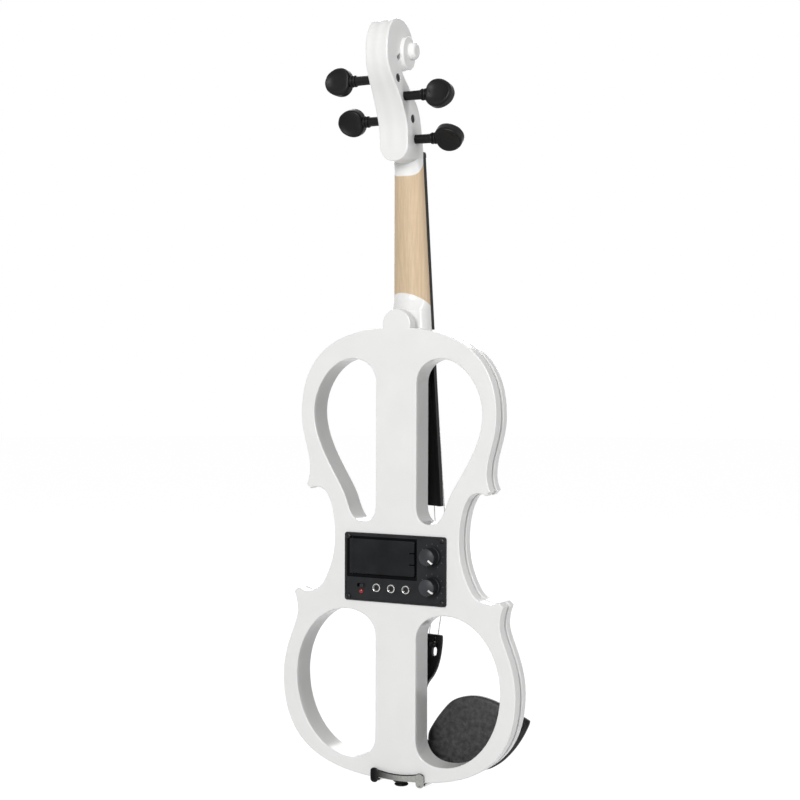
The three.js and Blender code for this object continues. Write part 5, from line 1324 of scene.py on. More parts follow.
class VIOLIN_OT_fingerboard(bpy.types.Operator):
    """Build the fingerboard, hollowed under its free end, with the nut over it"""

    bl_idname = "violin.fingerboard"
    bl_label = "Fingerboard and nut"

    def execute(self, context):
        end = NUT_HEIGHT - BOARD_LENGTH
        places = [end, end + 60, BODY_LENGTH, 430, NUT_HEIGHT]
        board = loft("fingerboard_cambered", [board_ring(z, glue_y(z) - 0.05, BOARD_SIDE, 0) for z in places])
        last = BOARD_HOLLOW_END
        rows = ((end - 3, 3), (last - 24, 3), (last - 8, 2), (last, 0.2))
        hollow = loft("hollow", [board_ring(z, glue_y(z) + 3, 0.4 + deep * 0.35, 3.5) for z, deep in rows])
        combine(board, hollow)
        soften(board, 0.5, 3, 40)
        finished(board, "ebony", ("fingerboard",))

        def crown(z, drop):
            return arched_ring(z, glue_y(NUT_HEIGHT), NECK_HALF_AT_NUT, lambda x: nut_top(x) + drop)

        levels = ((0.1, 0.15), (0.5, 0), (2, 0.2), (3.4, 0.9), (4.2, 1.5))
        nut = loft("nut_crowned", [crown(NUT_HEIGHT + up, drop) for up, drop in levels])
        soften(nut, 0.25, 2, 40)
        finished(nut, "fitting", ("nut",))
        return {"FINISHED"}


# Pegs
def peg_model():
    """One peg along X about the body's origin: a ringed collar and a dished head."""
    start = PEG_REACH + PEG_COLLAR_LENGTH * 0.8
    long = PEG_HEAD_LENGTH - PEG_COLLAR_LENGTH * 0.8
    tip = -PEGBOX_HALF + PEG_TIP_SHORT
    shaft_at = [(0, tip), (PEG_TIP_RADIUS * 0.8, tip), (PEG_TIP_RADIUS, tip + 0.5)]
    shaft_at += [(PEG_RADIUS, PEG_REACH - 3.2)]
    bead = [
        (PEG_RADIUS + 0.9 * math.sin(t), PEG_REACH - 1.9 - 1.2 * math.cos(t))
        for t in angles(math.pi, 8)
    ]
    ring = [
        (PEG_COLLAR - 0.9 + 0.9 * math.sin(t), PEG_REACH + 0.7 - 1.1 * math.cos(t))
        for t in angles(math.pi, 8)
    ]
    throat = [
        (PEG_RADIUS, PEG_REACH + 2.4), (PEG_COLLAR * 0.9, PEG_REACH + 3.4), (PEG_COLLAR * 0.8, PEG_REACH + 6),
        (0, PEG_REACH + 8),
    ]
    shaft = lathe("shaft", shaft_at + bead + ring + throat, "x", (0, 0, 0), 40)
    upper = [(start + along * long, up * PEG_HEAD_HALF) for along, up in PEG_HEAD]
    rim = spline(upper + [(x, -z) for x, z in upper[:-1][::-1]], 56)
    half = PEG_HEAD_THICKNESS / 2
    dish = (
        (1.5, 8.6), (1.45, 7), (1.2, 5), (0.75, 3.4), (0.2, 2.2), (0, 1.7), (0.1, 1.2), (0.45, 0.6),
        (1.1, 0.15), (2, 0),
    )
    face = [(half - down, side) for down, side in dish]
    levels = face + [(-y, side) for y, side in face[::-1]]
    return drawn_at_origin(combine(shaft, plate("head", rim, levels), "UNION"))


class VIOLIN_OT_pegs(bpy.types.Operator):
    """Build one peg and set its four copies in the pegbox"""

    bl_idname = "violin.pegs"
    bl_label = "Pegs"

    def execute(self, context):
        model = peg_model()
        for name in PEGS:
            peg = copy_of(model, "peg_" + name + "_turned")
            shift = (PEGBOX_HALF - PEG_TIP_SHORT - peg_length(name)) * MM
            for vertex in peg.data.vertices:
                if vertex.co.x < 0:
                    vertex.co.x += shift
            moved(peg, peg_frame(name))
            finished(peg, "fitting", ("peg_" + name,), body="peg_" + name)
        bpy.data.objects.remove(model)
        return {"FINISHED"}


# Strings, bridge and tailpiece
def spread(i, width):
    return width * (i / (len(STRINGS) - 1) - 0.5)


def tail_point(x, along, out):
    turn = math.radians(TAIL_TILT)
    y = -BODY_DEPTH - TAIL_RISE - along * math.sin(turn) - out * math.cos(turn)
    z = TAIL_FOOT + along * math.cos(turn) - out * math.sin(turn)
    return x, y, z


def tail_top(x):
    return TAIL_THICKNESS - TAIL_CAMBER + math.sqrt(TAIL_CAMBER ** 2 - x ** 2)


def bridge_top(x):
    return BRIDGE_FEET - BRIDGE_HEIGHT + BRIDGE_CROWN - math.sqrt(BRIDGE_CROWN ** 2 - x ** 2)


def nut_top(x):
    return glue_y(NUT_HEIGHT) - BOARD_SIDE - NUT_RISE - camber(x, NECK_HALF_AT_NUT)


class VIOLIN_OT_strings(bpy.types.Operator):
    """Lay the four strings from the tailpiece over the bridge and the nut and wind them on their pegs"""

    bl_idname = "violin.strings"
    bl_label = "Strings"

    def execute(self, context):
        for i, name in enumerate(STRINGS):
            radius = STRING_RADII[i]
            lift = radius + 0.1
            x = spread(i, TAIL_SPREAD)
            bridge_x = spread(i, BRIDGE_SPREAD)
            over_bridge = (bridge_x, bridge_top(bridge_x) - lift, BRIDGE_Z)
            nut_x = spread(i, NUT_SPREAD)
            over_nut = (nut_x, nut_top(nut_x) - lift, NUT_HEIGHT + 0.4)
            behind = (nut_x, nut_top(nut_x) + 1.3 - lift, NUT_HEIGHT + 4.2)
            reach, height, side, _ = PEGS[name]
            py, pz = head_point((reach, height))
            way_up = (pz - NUT_HEIGHT) / (head_point(SLOT_FLOOR[-1])[1] - NUT_HEIGHT)
            slot_half = SLOT_HALVES[0] + (SLOT_HALVES[1] - SLOT_HALVES[0]) * way_up
            coil_x = WINDINGS[name] * slot_half
            coil = 3.4 + radius
            dy, dz = behind[1] - py, behind[2] - pz
            start = math.atan2(dz, dy) - math.acos(coil / math.hypot(dy, dz))
            winding = []
            for k in range(int(STRING_TURNS * STRING_TURN_STEPS) + 1):
                turn = start - 2 * math.pi * k / STRING_TURN_STEPS
                along = coil_x + side * (k / STRING_TURN_STEPS - STRING_TURNS / 2) * radius * 2.1
                winding.append((along, py + coil * math.cos(turn), pz + coil * math.sin(turn)))
            if name == "e":
                ball = tail_point(x, 96.2, 6)
                route = [ball, tail_point(x, 98.6, 6)]
                profile = [(1.5 * math.sin(t), 1.5 * math.cos(t)) for t in angles(math.pi, 10)]
                bead = lathe("ball", profile, "z", ball, 20)
            else:
                middle = tail_point(x, 97.2, -2.3)
                above = tail_top(x)
                route = [
                    middle, tail_point(x, 99.2, 0), tail_point(x, 101.4, above),
                    tail_point(x, TAIL_FRET, above + 0.9 + lift),
                ]
                profile = [(0, -2.6), (1.7, -2.6), (2, -2.3), (2, 2.3), (1.7, 2.6), (0, 2.6)]
                bead = lathe("bead", profile, "x", middle, 20)
            line = wire("line", [*route, over_bridge, over_nut, behind, *winding], radius, 12)
            line.name = "string_" + name + "_wound"
            bead.name = "string_" + name + "_ball"
            finished(bead, "fitting", (), 50, False)
            metal = "silver" if name == "e" else "string"
            finished(line, metal, ("string_" + name,), 50, False)
        return {"FINISHED"}


class VIOLIN_OT_bridge(bpy.types.Operator):
    """Cut the bridge with its arch, windows and heart, and set it on its pickup bar"""

    bl_idname = "violin.bridge"
    bl_label = "Bridge and pickup"

    def execute(self, context):
        def at(shares):
            return [(x * BRIDGE_HALF, up * BRIDGE_HEIGHT) for x, up in shares]

        right = at([
            (0.46, 0), (0.75, 0), (1, 0), (1, 0.05), (0.88, 0.1), (0.78, 0.17), (0.8, 0.25), (0.95, 0.32),
            (0.98, 0.4), (0.86, 0.45), (0.84, 0.5), (0.95, 0.56), (0.97, 0.66), (0.92, 0.85),
        ])
        right = right[:4] + spline(right[3:], 40)[1:]
        edge = right[-1][0]
        crown = [(x, BRIDGE_FEET - bridge_top(x)) for x in (edge * (1 - k / 12) for k in range(1, 24))]
        arch = spline(at([(0.46, 0), (0.4, 0.05), (0.26, 0.12), (0, 0.155)]), 12)
        arch = mirrored(arch)[1:] + arch[1:-1][::-1]
        outline = right + crown + mirrored(right)[::-1] + arch
        window = at([(0.34, 0.26), (0.56, 0.28), (0.62, 0.38), (0.5, 0.46), (0.34, 0.42), (0.34, 0.26)])
        window = spline(window, 20)[:-1]
        heart = spline(at([(0, 0.5), (0.12, 0.56), (0.16, 0.64), (0.08, 0.69), (0, 0.66)]), 16)
        heart = heart + mirrored(heart[1:-1])[::-1]

        def place(x, up, share):
            foot, top = BRIDGE_THICKNESS
            thick = foot + (top - foot) * min(1, up / BRIDGE_HEIGHT)
            return row(x, BRIDGE_FEET - up, BRIDGE_Z + share * thick / 2)

        levels = [(-1, 0.3), (-0.86, 0), (0.86, 0), (1, 0.3)]
        loops = [outline, window, mirrored(window), heart]
        bridge = closed_slab("bridge_carved", loops, levels, place, (0, 0, 1))
        finished(bridge, "maple", ("bridge",))
        bar = block("pickup_bar", *PICKUP_BAR, 0.35, 2)
        finished(bar, "nickel", ("bridge_pickup",))
        return {"FINISHED"}


class VIOLIN_OT_tailpiece(bpy.types.Operator):
    """Build the tailpiece with its camber, fret and keyholes, and the gut loop that holds it"""

    bl_idname = "violin.tailpiece"
    bl_label = "Tailpiece and gut"

    def execute(self, context):
        right = spline([(x * TAIL_HALF, along * TAIL_LENGTH) for x, along in TAIL_OUTLINE], 56)
        edge = right[-1][0]
        top = [
            (x, TAIL_LENGTH + 0.35 * (1 - (x / edge) ** 2))
            for x in (edge * (1 - k / 10) for k in range(1, 20))
        ]
        foot = [(right[0][0] * k / 4, -0.2 * (1 - (k / 4) ** 2)) for k in range(-3, 4)]
        outline = right + top + mirrored(right)[::-1] + foot
        holes = []
        for i in range(3):
            x = spread(i, TAIL_SPREAD)
            wide = circle(2.2, 14, (x, KEYHOLE), 110, 320)
            wide = [(a, b + (0.4 if b > KEYHOLE else -2.2)) for a, b in wide]
            slot = [(x + 0.55, 102.7), (x + 0.3, 103.1), (x - 0.3, 103.1), (x - 0.55, 102.7)]
            holes.append([(x - 0.55, 96.4)] + wide[1:-1] + [(x + 0.55, 96.4)] + slot)
        tuner_x = spread(3, TAIL_SPREAD)
        holes.append(rounded_box(tuner_x, 94, 1.9, 8.2, 1.2))

        def place(x, along, out):
            return row(*tail_point(x, along, out))

        thick = TAIL_THICKNESS
        levels = [(0, 0.8), (0.25, 0.25), (0.8, 0), (thick - 0.9, 0), (thick - 0.3, 0.25), (thick, 0.9)]
        upright = place(0, 0, 1) - place(0, 0, 0)
        piece = closed_slab("tailpiece_carved", [outline, *holes], levels, place, upright)
        cuts = [row(x, 0, 0) for x in range(-18, 19, 2)]
        slice_across(piece, cuts, (1, 0, 0))
        turn = math.radians(TAIL_TILT)
        outward = Vector((0, -math.cos(turn), -math.sin(turn)))
        base = place(0, 0, 0)
        for vertex in piece.data.vertices:
            height = (vertex.co - base).dot(outward) / MM
            x = vertex.co.x / MM
            if height > 1:
                drop = thick - tail_top(x)
                vertex.co -= outward * (drop * (height - 0.8) / (thick - 0.8) * MM)
        finished(piece, "fitting", ("tailpiece",), 30)
        line = [tail_point(x, TAIL_FRET, tail_top(x) + 0.3) for x in range(-17, 18, 2)]
        fret = wire("tailpiece_fret", line, 0.6, 12)
        finished(fret, "fitting", (), 50, False)
        saddle_top = -BODY_DEPTH - 2.9 - GUT_LIFT
        loop_z = -1.6
        radius = ENDPIN_RADIUS + GUT_LIFT

        def strand(side):
            x = side * 3.2
            return [
                tail_point(x, 12, 2.2), tail_point(x, 0, 2.2), (x, saddle_top + 0.1, 3.4),
                (x, saddle_top + 0.5, 0.6), (x * 1.1, saddle_top + 2.2, -1.1),
                (side * radius * 0.8, -BODY_DEPTH, loop_z), (side * radius, -BODY_DEPTH / 2 - 1.1, loop_z),
            ]

        around = [
            (-radius * math.cos(t), -BODY_DEPTH / 2 + radius * math.sin(t), loop_z)
            for t in (math.radians(15 * k) for k in range(1, 12))
        ]
        path = [*spline(strand(-1), 40), *around, *spline(strand(1), 40)[::-1]]
        gut = wire("tail_gut_loop", path, GUT_RADIUS, 12)
        finished(gut, "rubber", ("tail_gut",), 50, False)
        saddle = block("saddle_rounded", *SADDLE, 1.1, 4)
        finished(saddle, "fitting", ("saddle",))
        profile = [
            (0, 2), (ENDPIN_RADIUS, 2), (ENDPIN_RADIUS, -1), (ENDPIN_RADIUS, -3.6), (4.9, -4.0),
            (5.4, -4.3), (5.6, -4.8), (5.4, -5.3), (4.7, -5.8), (3.4, -6.1), (1.6, -6.3), (0, -6.36),
        ]
        pin = lathe("endpin_turned", profile, "z", (0, -BODY_DEPTH / 2, 0), 48)
        finished(pin, "fitting", ("endpin",))
        return {"FINISHED"}


# Chin rest and clamp
class VIOLIN_OT_chin_rest(bpy.types.Operator):
    """Model the chin rest's cup, arm and feet in one piece"""

    bl_idname = "violin.chin_rest"
    bl_label = "Chin rest"

    def execute(self, context):
        rim = spline([*CUP_OUTLINE, CUP_OUTLINE[0]], 90)[:-1]
        middle_x, middle_z = CUP_MIDDLE
        half_x, half_z = CUP_HALVES
        rings = []
        for size, up in spline(CUP_RINGS, 44):
            y = REST_UNDER - up * CUP_THICKNESS
            rings.append([row(middle_x + x * size * half_x, y, middle_z + z * size * half_z) for x, z in rim])
        rest = loft("chin_rest_moulded", rings)
        left, _, low, high = ARM
        loop = [point for point in sides_box(*ARM, 6.5, 8) if point[0] > 0]
        loop += [(8, high + 0.1), (-1, high + 1.6), (-8, high + 6.5), (left, high + 9), (left, low)]
        levels = [(REST_UNDER + 0.02, 0.8)]
        levels += [
            (REST_UNDER - down, side)
            for down, side in ((0.3, 0.2), (1, 0), (3, 0), (4, 0.3), (4.7, 1), (5, 2))
        ]
        combine(rest, plate("arm", loop, levels), "UNION")
        for side, letter in ((-1, "g"), (1, "e")):
            x = CLAMP_MIDDLE + side * FOOT_SPREAD / 2
            sides = (x - FOOT_HALF, x + FOOT_HALF)
            foot = block("foot", sides, (REST_UNDER - 2, -24), (5, 14), 0.8, 3)
            combine(rest, foot, "UNION")
            cork = block("cork_" + letter, sides, CORK_DEPTHS, (5.3, 13.7), 0.3, 2)
            finished(cork, "cork", ("chin_rest_cork_" + letter + "_side",))
        finished(rest, "chin rest", ("chin_rest",), 36)
        return {"FINISHED"}


class VIOLIN_OT_clamp(bpy.types.Operator):
    """Build the chin rest's clamp: two brackets, a pad and two barrels"""

    bl_idname = "violin.clamp"
    bl_label = "Clamp"

    def execute(self, context):
        places = {"g": CLAMP_MIDDLE - FOOT_SPREAD / 2, "e": CLAMP_MIDDLE + FOOT_SPREAD / 2}
        front = REST_UNDER + 0.3
        loop = rounded_box(CLAMP_MIDDLE, 0.6, 24.5, 4, 3.6, 6)
        levels = [(front, 0.3), (front + 0.3, 0), (front + 1.2, 0), (front + 1.5, 0.3)]
        shelf = plate("clamp_front_plate", loop, levels)
        levels = [(front + 0.01, 0.3), (front + 0.3, 0), (front + 1.2, 0), (front + 1.49, 0.3)]
        tongue = plate("tongue", rounded_box(CLAMP_MIDDLE, 5, 13, 7, 3, 6), levels)
        combine(shelf, tongue, "UNION")
        end = [(0, front + 1), (ROD_RADIUS, front + 1), (ROD_RADIUS, -14.9), (0, -14.9)]
        for x in places.values():
            combine(shelf, lathe("rod", end, "y", (x, 0, ROD_HEIGHT), 16), "UNION")
        finished(shelf, "steel", ("clamp_front_bracket",))
        steps = [k / 12 - 1 for k in range(25)]
        half = FOOT_SPREAD / 2
        lower = [(CLAMP_MIDDLE + way * half, 0.9 + 1.7 * way ** 2) for way in steps]
        upper = [(CLAMP_MIDDLE + way * half, 6.1 + 2.6 * way ** 2) for way in steps[::-1]]
        levels = [(2.1, 0.3), (2.35, 0), (2.7, 0), (3.05, 0.25), (3.3, 0.8)]
        band = plate("clamp_back_band", lower + upper, levels)
        levels = [(1.95, 0.3), (2.2, 0), (3.15, 0), (3.5, 0.4)]
        for x in places.values():
            combine(band, plate("lug", rounded_box(x, 3.25, 3.3, 5.75, 2.9, 8), levels), "UNION")
        end = [(0, -10.1), (ROD_RADIUS, -10.1), (ROD_RADIUS, 3.7), (0.5, 3.95), (0, 4)]
        rods = [lathe("rod", end, "y", (x, 0, ROD_HEIGHT), 16) for x in places.values()]
        band = joined("clamp_back_band", [band, *rods])
        finished(band, "bracket", ("clamp_back_bracket",))
        # Painted shade: the band's faces that face up get the dark screw finish, a dark line along its upper
        # edge.
        repaint(band, "screw", lambda face: face.normal.z > 0.4)
        sides = (CLAMP_MIDDLE - PAD_HALF, CLAMP_MIDDLE + PAD_HALF)
        pad = block("clamp_pad_strip", sides, (0.3, 1.7), (1.8, 5.4), 0.3, 2)
        finished(pad, "rubber", ("clamp_pad",))
        tube = [
            (1.05, -8), (1.45, -8), (1.6, -7.8), (1.6, -5.4), (1.35, -5.1), (1.35, -4.9), (1.6, -4.6),
            (1.6, 4.6), (1.35, 4.9), (1.35, 5.1), (1.6, 5.4), (1.6, 7.8), (1.45, 8), (1.05, 8), (1.05, -8),
        ]
        drill = [(0, -3), (0.5, -3), (0.5, 3), (0, 3)]
        for side, x in places.items():
            name = "clamp_barrel_" + side + "_side"
            barrel = weld(lathe("barrel", tube, "y", (x, BARREL_DEPTH, ROD_HEIGHT), 32))
            for along in (-2.8, 2.8):
                combine(barrel, lathe("hole", drill, "z", (x, BARREL_DEPTH + along, ROD_HEIGHT), 12))
            barrel.name = name + "_knurled"
            finished(barrel, "nickel", (name,), body=name)
        return {"FINISHED"}


# Control panel
class VIOLIN_OT_panel(bpy.types.Operator):
    """Mould the control panel with its door opening, its recess and its dial marks"""

    bl_idname = "violin.panel"
    bl_label = "Control panel"

    def execute(self, context):
        left, right, low, high = DOOR
        outline = rounded_box(0, PANEL_MIDDLE, *PANEL_HALF, 2, 6)
        opening = sides_box(*DOOR, 0.8, 4)
        slider = rounded_box(*SWITCH_SLOT, 0.3, 2)
        levels = [(0.3, 0), (1.2, 0), (1.6, 0.12), (PANEL_FACE, 0.4), (PANEL_FACE, 1.5), (PANEL_PLATE, 1.75)]
        walls = [(0.3, 0), (PANEL_PLATE - 0.15, 0), (PANEL_PLATE, -0.15)]
        loops = [outline, opening, slider]
        panel = closed_slab("control_panel_moulded", loops, levels, flat_place, (0, 1, 0), walls)
        recess = ((left - 1.4, right + 2), (0.6, 4), (low - 2.6, high + 1.6))
        combine(panel, block("recess", *recess, 0.3, 2))
        marks = []
        for height, _ in KNOBS.values():
            for k in range(DIAL_MARKS):
                turn = math.radians(DIAL_START + DIAL_STEP * k)
                depth = (PANEL_PLATE - 0.1, PANEL_PLATE + 0.16)
                tick = block("tick", (-0.16, 0.16), depth, DIAL_REACH, 0.06, 1)
                drawn_at_origin(tick)
                centre = Matrix.Translation(row(KNOB_X, 0, height))
                marks.append(moved(tick, centre @ Matrix.Rotation(-turn + math.pi / 2, 4, "Y")))
        ticks = joined("panel_dial_marks", marks)
        finished(panel, "panel", ("control_panel",))
        (near_x, far_x), _, (near_z, far_z) = recess
        start, end = row(near_x, 0.4, near_z), row(far_x, 1.3, far_z)

        def in_recess(face):
            return all(a - 1e-5 < c < b + 1e-5 for a, c, b in zip(start, face.center, end))

        # The recess round the door gets the dark painted-shade finish.
        repaint(panel, "recess", in_recess)
        finished(ticks, "marks", (), 40, False)
        return {"FINISHED"}


class VIOLIN_OT_door(bpy.types.Operator):
    """Mould the battery door with its latch tongue and hinge barrel"""

    bl_idname = "violin.door"
    bl_label = "Battery door"

    def execute(self, context):
        left, _, low, high = DOOR
        top = PANEL_FACE + 1.2
        hinge_x, hinge_y, reach = HINGE
        lid = sides_box(left + SEAM, hinge_x, low + SEAM, high - SEAM, 1.6)
        bevel = ((2.2, 0), (1.3, 0), (0.7, 0.08), (0.3, 0.35), (0.08, 0.8), (0, 1.3))
        door = plate("battery_door_moulded", lid, [(top - down, side) for down, side in bevel])
        middle = (low + high) / 2
        for side in (-1, 1):
            z = middle + side * 4.5
            slit = block("slit", (left - 3, left + 4.6), (top - 5, top + 3), (z - 0.45, z + 0.45), 0.1, 1)
            combine(door, slit)
        centre = (hinge_x, hinge_y, 0)
        profile = [
            (0, low + 0.3), (reach - 0.3, low + 0.3), (reach, low + 0.6), (reach, high - 0.6),
            (reach - 0.3, high - 0.3), (0, high - 0.3),
        ]
        combine(door, lathe("barrel", profile, "z", centre, 32), "UNION")
        profile = [(0, low - 1.1), (0.35, low - 1.1), (0.35, high + 1.1), (0, high + 1.1)]
        combine(door, lathe("pin", profile, "z", centre, 12), "UNION")
        finished(door, "door", ("battery_door",), body="battery_door")
        return {"FINISHED"}


class VIOLIN_OT_controls(bpy.types.Operator):
    """Build the knobs, jacks, switch, lamp and screws of the panel"""

    bl_idname = "violin.controls"
    bl_label = "Controls"

    def execute(self, context):
        dome = settings()[1].knob_dome / MM
        base = 0.9 + SEAM
        top = base + KNOB_LENGTH
        rim = top - dome
        side = [
            (0, base), (7.2, base), (7.5, base + 0.3), (7.5, base + 1.6), (7.3, base + 2.1),
            (6.95, base + 2.5), (6.85, base + 3.2),
        ]
        cap = [(6.62, rim - 0.9), (6.5, rim - 0.4), (KNOB_TOP_RADIUS, rim)]
        for t in angles(math.pi / 2, 8)[7::-1]:
            reach = KNOB_TOP_RADIUS * math.sin(t)
            cap.append((reach, rim + dome * (1 - (reach / KNOB_TOP_RADIUS) ** 2)))
        knob = drawn_at_origin(lathe("knob", side + cap, "y", (0, SEAM, 0), 64))
        rings = []
        for reach in (2.9, 3.8, 4.8, 5.8, 6.3, 6.7):
            rise = rim + dome * (1 - min(1, reach / KNOB_TOP_RADIUS) ** 2) + SEAM
            rise += 0.22 if reach < 6.5 else -0.3
            low = rim - 1.2
            ring = ((low, -0.75), (low, 0.75), (rise, 0.75), (rise, -0.75))
            rings.append([row(reach, y, z) for y, z in ring])
        line = drawn_at_origin(soften(loft("pointer", rings), 0.1))
        for name, (height, turn) in KNOBS.items():
            at = Matrix.Translation(row(KNOB_X, 0, height)) @ Matrix.Rotation(math.radians(turn), 4, "Y")
            body = name + "_knob"
            made = moved(copy_of(knob, body + "_cap"), at)
            finished(made, "knob", (body,), 40, body=body)
            # Painted shade on the knob's sides; the top keeps the lighter painted-light copy.
            repaint(made, "knob side painted shade", lambda face: face.normal.y < 0.5)
            mark = moved(copy_of(line, body + "_pointer"), at)
            finished(mark, "white plastic", (), 40, body=body)
        nut = [
            (2.55, -2), (2.55, 2.5), (2.7, 2.95), (3.05, 3.15), (3.35, 2.9), (3.5, 2.4), (3.5, 1.2),
            (2.7, 1.2), (2.7, -2), (2.55, -2),
        ]
        jack = drawn_at_origin(weld(lathe("jack", nut, "y", (0, 0.28, 0), 48)))
        bush = [(0, -3), (2.6, -3), (2.6, 1.9), (2.35, 2.2), (2.0, 2.1), (1.8, 1.7), (1.75, -2), (0, -2)]
        well = drawn_at_origin(lathe("well", bush, "y", (0, 0.28, 0), 40))
        for name, x in JACKS.items():
            at = Matrix.Translation(row(x, 0, JACK_HEIGHT))
            finished(moved(copy_of(jack, name + "_nut"), at), "nickel", (name,), 40)
            finished(moved(copy_of(well, name + "_well"), at), "socket", (), 40)
        slide = block("power_switch_tab", *SWITCH_TAB, 0.3, 2)
        for x in (28, 28.8, 29.6):
            combine(slide, block("rib", (x - 0.14, x + 0.14), (2.9, 4), (150, 155), 0.04, 1))
        finished(slide, "knob", ("power_switch_slider",), body="power_slider")
        dome = [
            (0, -2), (1.5, -2), (1.5, 1.2), (1.95, 1.3), (1.95, 1.7), (1.7, 2), (1.3, 2.5), (0.7, 2.72),
            (0, 2.78),
        ]
        lens = lathe("power_led_lens", dome, "y", LAMP_PLACE, 32)
        finished(lens, "lamp", ("power_led",), 40)
        head = [
            (0, -3), (1.1, -3), (1.1, 1.9), (2.1, 1.9), (2.1, 2.05), (1.9, 2.45), (1.45, 2.75), (0.8, 2.78),
            (0, 2.78),
        ]
        screw = lathe("screw", head, "y", (0, 0, 0), 32)
        for wide, tall in ((1.25, 0.28), (0.28, 1.25)):
            combine(screw, block("recess", (-wide, wide), (2.2, 4), (-tall, tall), 0.05, 1))
        drawn_at_origin(screw)
        for number, (right, up) in enumerate([(-1, -1), (-1, 1), (1, -1), (1, 1)], 1):
            place = row(right * SCREW_PLACES[0], 0, PANEL_MIDDLE + up * SCREW_PLACES[1])
            at = Matrix.Translation(place) @ Matrix.Rotation(math.radians(17 + 31 * number), 4, "Y")
            name = "panel_screw_" + str(number)
            finished(moved(copy_of(screw, name + "_head"), at), "screw", (name,), 40)
        for model in (knob, line, jack, well, screw):
            bpy.data.objects.remove(model)
        return {"FINISHED"}


class VIOLIN_OT_battery(bpy.types.Operator):
    """Build the battery under the door, with its folded case and two terminals"""

    bl_idname = "violin.battery"
    bl_label = "Battery"

    def execute(self, context):
        low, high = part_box("battery")
        x0, y0, z0 = (low - row(0, 0, 0)) / MM
        x1, y1, z1 = (high - row(0, 0, 0)) / MM
        case_left = x0 + TERMINAL_REACH
        case = block("battery_case", (case_left + 1, x1), (y0, y1), (z0, z1), 1.2, 4)
        cap = block("cap", (case_left, case_left + 3), (y0 + 0.5, y1 - 0.5), (z0 + 0.5, z1 - 0.5), 0.5, 2)
        combine(case, cap, "UNION")
        finished(case, "battery", ("battery",))
        middle = (z0 + z1) / 2
        for name, side, radius in (("stud", -1, 2.6), ("socket", 1, 2.8)):
            end = case_left - TERMINAL_REACH
            profile = [
                (0, end), (radius - 0.4, end), (radius, case_left - 2.1),
                (radius * 0.86, case_left - 1), (radius, case_left + 0.3), (0, case_left + 0.3),
            ]
            centre = (0, (y0 + y1) / 2, middle + side * TERMINAL_SPREAD)
            terminal = lathe("battery_" + name, profile, "x", centre, 24)
            finished(terminal, "nickel", (), 40)
        return {"FINISHED"}


class VIOLIN_OT_carried(bpy.types.Operator):
    """Give finishes to the CAD nodes that stay"""

    bl_idname = "violin.carried"
    bl_label = "Carried nodes"

    def execute(self, context):
        kept = {
            "battery_tray": "recess", "battery_clip": "rubber", "circuit_board": "board",
            "pickup_lead": "wire", "tuner_plate": "nickel", "tuner_lever": "nickel", "tuner_screw": "nickel",
            "power_switch": "rubber", "volume_pot": "nickel", "tone_pot": "nickel",
            "volume_shaft": "white plastic", "tone_shaft": "white plastic",
        }
        for name, look in kept.items():
            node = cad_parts[name]
            node.data.materials.clear()
            node.data.materials.append(finish(look))
        return {"FINISHED"}


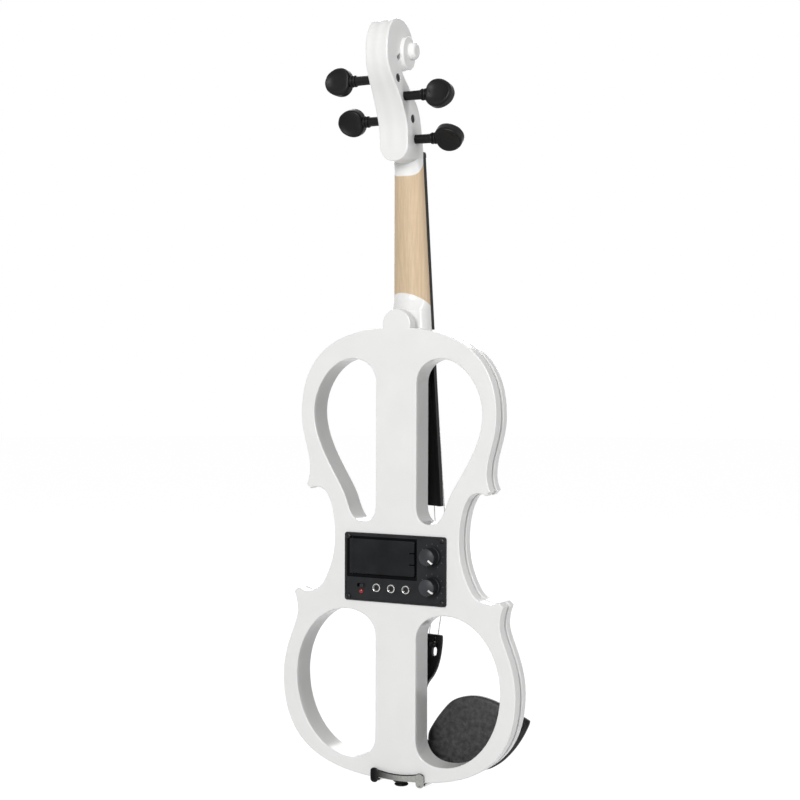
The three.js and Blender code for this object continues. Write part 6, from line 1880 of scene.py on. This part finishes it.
# Stage
class VIOLIN_OT_stage(bpy.types.Operator):
    """Set up the camera, the lights, the sky and the floor"""

    bl_idname = "violin.stage"
    bl_label = "Camera, light and floor"

    def execute(self, context):
        stage = settings()[2]
        scene = context.scene
        scene.view_settings.view_transform = "Standard"
        eye = row(*CAMERA_EYE)
        data = bpy.data.cameras.new("photo_camera")
        data.lens = CAMERA_LENS
        data.sensor_width = 36
        data.clip_start = 0.05
        data.clip_end = 50
        camera = bpy.data.objects.new("photo_camera", data)
        scene.collection.objects.link(camera)
        look = (row(*CAMERA_TARGET) - eye).normalized()
        level = look.to_track_quat("-Z", "Y")
        camera.rotation_mode = "QUATERNION"
        camera.rotation_quaternion = Quaternion(look, math.radians(CAMERA_ROLL)) @ level
        camera.location = eye
        scene.camera = camera
        lamps = (
            ("key_light", (-0.35, 2.8, 0.8), (1.2, 1.2), stage.key_light),
            ("top_light", (0.1, 0.2, 1.4), (1.2, 1.2), stage.fill_light),
            ("side_light", (-1.9, 0.03, 0.3), (0.25, 1.6), stage.side_light),
            ("front_light", (0.7, -1.6, 0.6), (1.0, 1.4), stage.fill_light * 12),
        )
        for name, place, size, energy in lamps:
            light = bpy.data.lights.new(name, "AREA")
            light.shape = "RECTANGLE"
            light.size, light.size_y = size
            light.energy = energy
            made = bpy.data.objects.new(name, light)
            scene.collection.objects.link(made)
            made.location = place
            made.rotation_euler = (row(*LIT_MIDDLE) - Vector(place)).to_track_quat("-Z", "Y").to_euler()
        world = bpy.data.worlds.new("studio")
        scene.world = world
        world.use_nodes = True
        sky = Nodes(world.node_tree)
        background = sky.tree.nodes["Background"].inputs
        background["Color"].default_value = (1, 1, 1, 1)
        rays = sky.node("ShaderNodeLightPath").outputs
        seen = sky.math("MAXIMUM", rays["Is Camera Ray"], rays["Is Transmission Ray"])
        either = sky.math("MAXIMUM", seen, rays["Is Glossy Ray"])
        sky.feed(background["Strength"], sky.map(either, 0, 1, stage.sky, 1))
        bpy.ops.object.select_all(action="DESELECT")
        under = (0, 0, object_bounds()[0].z - 0.0005)
        bpy.ops.mesh.primitive_circle_add(vertices=96, radius=6, fill_type="NGON", location=under)
        floor = bpy.context.object
        floor.name = "floor"
        bpy.ops.object.transform_apply(location=True, rotation=False, scale=False)
        paper = Finish("pale floor", (FLOOR_GREY, FLOOR_GREY, FLOOR_GREY), roughness=0.9)
        grain = paper.node("ShaderNodeTexNoise", scale=60).outputs["Fac"]
        paper.set("Normal", paper.node("ShaderNodeBump", strength=0.05, height=grain).outputs["Normal"])
        rays = paper.node("ShaderNodeLightPath").outputs
        direct = paper.math("MAXIMUM", rays["Is Camera Ray"], rays["Is Glossy Ray"])
        blend = paper.node("ShaderNodeMixShader", fac=paper.math("MULTIPLY", direct, FLOOR_GLOW_SHARE))
        glow = paper.node("ShaderNodeEmission", strength=FLOOR_GLOW)
        paper.feed(blend.inputs[1], paper.shader.outputs["BSDF"])
        paper.feed(blend.inputs[2], glow.outputs["Emission"])
        paper.feed(paper.tree.nodes["Material Output"].inputs["Surface"], blend.outputs["Shader"])
        floor.data.materials.append(paper.material)
        floor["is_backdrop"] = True
        return {"FINISHED"}


OPERATORS = (
    VIOLIN_OT_body, VIOLIN_OT_neck, VIOLIN_OT_fingerboard, VIOLIN_OT_pegs, VIOLIN_OT_strings,
    VIOLIN_OT_bridge, VIOLIN_OT_tailpiece, VIOLIN_OT_chin_rest, VIOLIN_OT_clamp, VIOLIN_OT_panel,
    VIOLIN_OT_door, VIOLIN_OT_controls, VIOLIN_OT_battery, VIOLIN_OT_carried, VIOLIN_OT_stage,
)


class VIOLIN_PT_looks(bpy.types.Panel):
    """Sizes, colours and build steps of the violin"""

    bl_label = "Electric violin"
    bl_idname = "VIOLIN_PT_looks"
    bl_space_type = "VIEW_3D"
    bl_region_type = "UI"
    bl_category = "Violin"

    def draw(self, context):
        for group in settings():
            box = self.layout.box()
            for key in group.__annotations__:
                box.prop(group, key)
        for operator in OPERATORS:
            self.layout.operator(operator.bl_idname)


def register():
    for kind in (*GROUPS.values(), *OPERATORS, VIOLIN_PT_looks):
        bpy.utils.register_class(kind)
    for name, group in GROUPS.items():
        setattr(bpy.types.Scene, name, bpy.props.PointerProperty(type=group))


def unregister():
    for name in GROUPS:
        delattr(bpy.types.Scene, name)
    for kind in reversed((*GROUPS.values(), *OPERATORS, VIOLIN_PT_looks)):
        bpy.utils.unregister_class(kind)


def main():
    register()
    make_finishes()
    for operator in OPERATORS:
        group, name = operator.bl_idname.split(".")
        getattr(getattr(bpy.ops, group), name)()


if __name__ == "__main__":
    main()
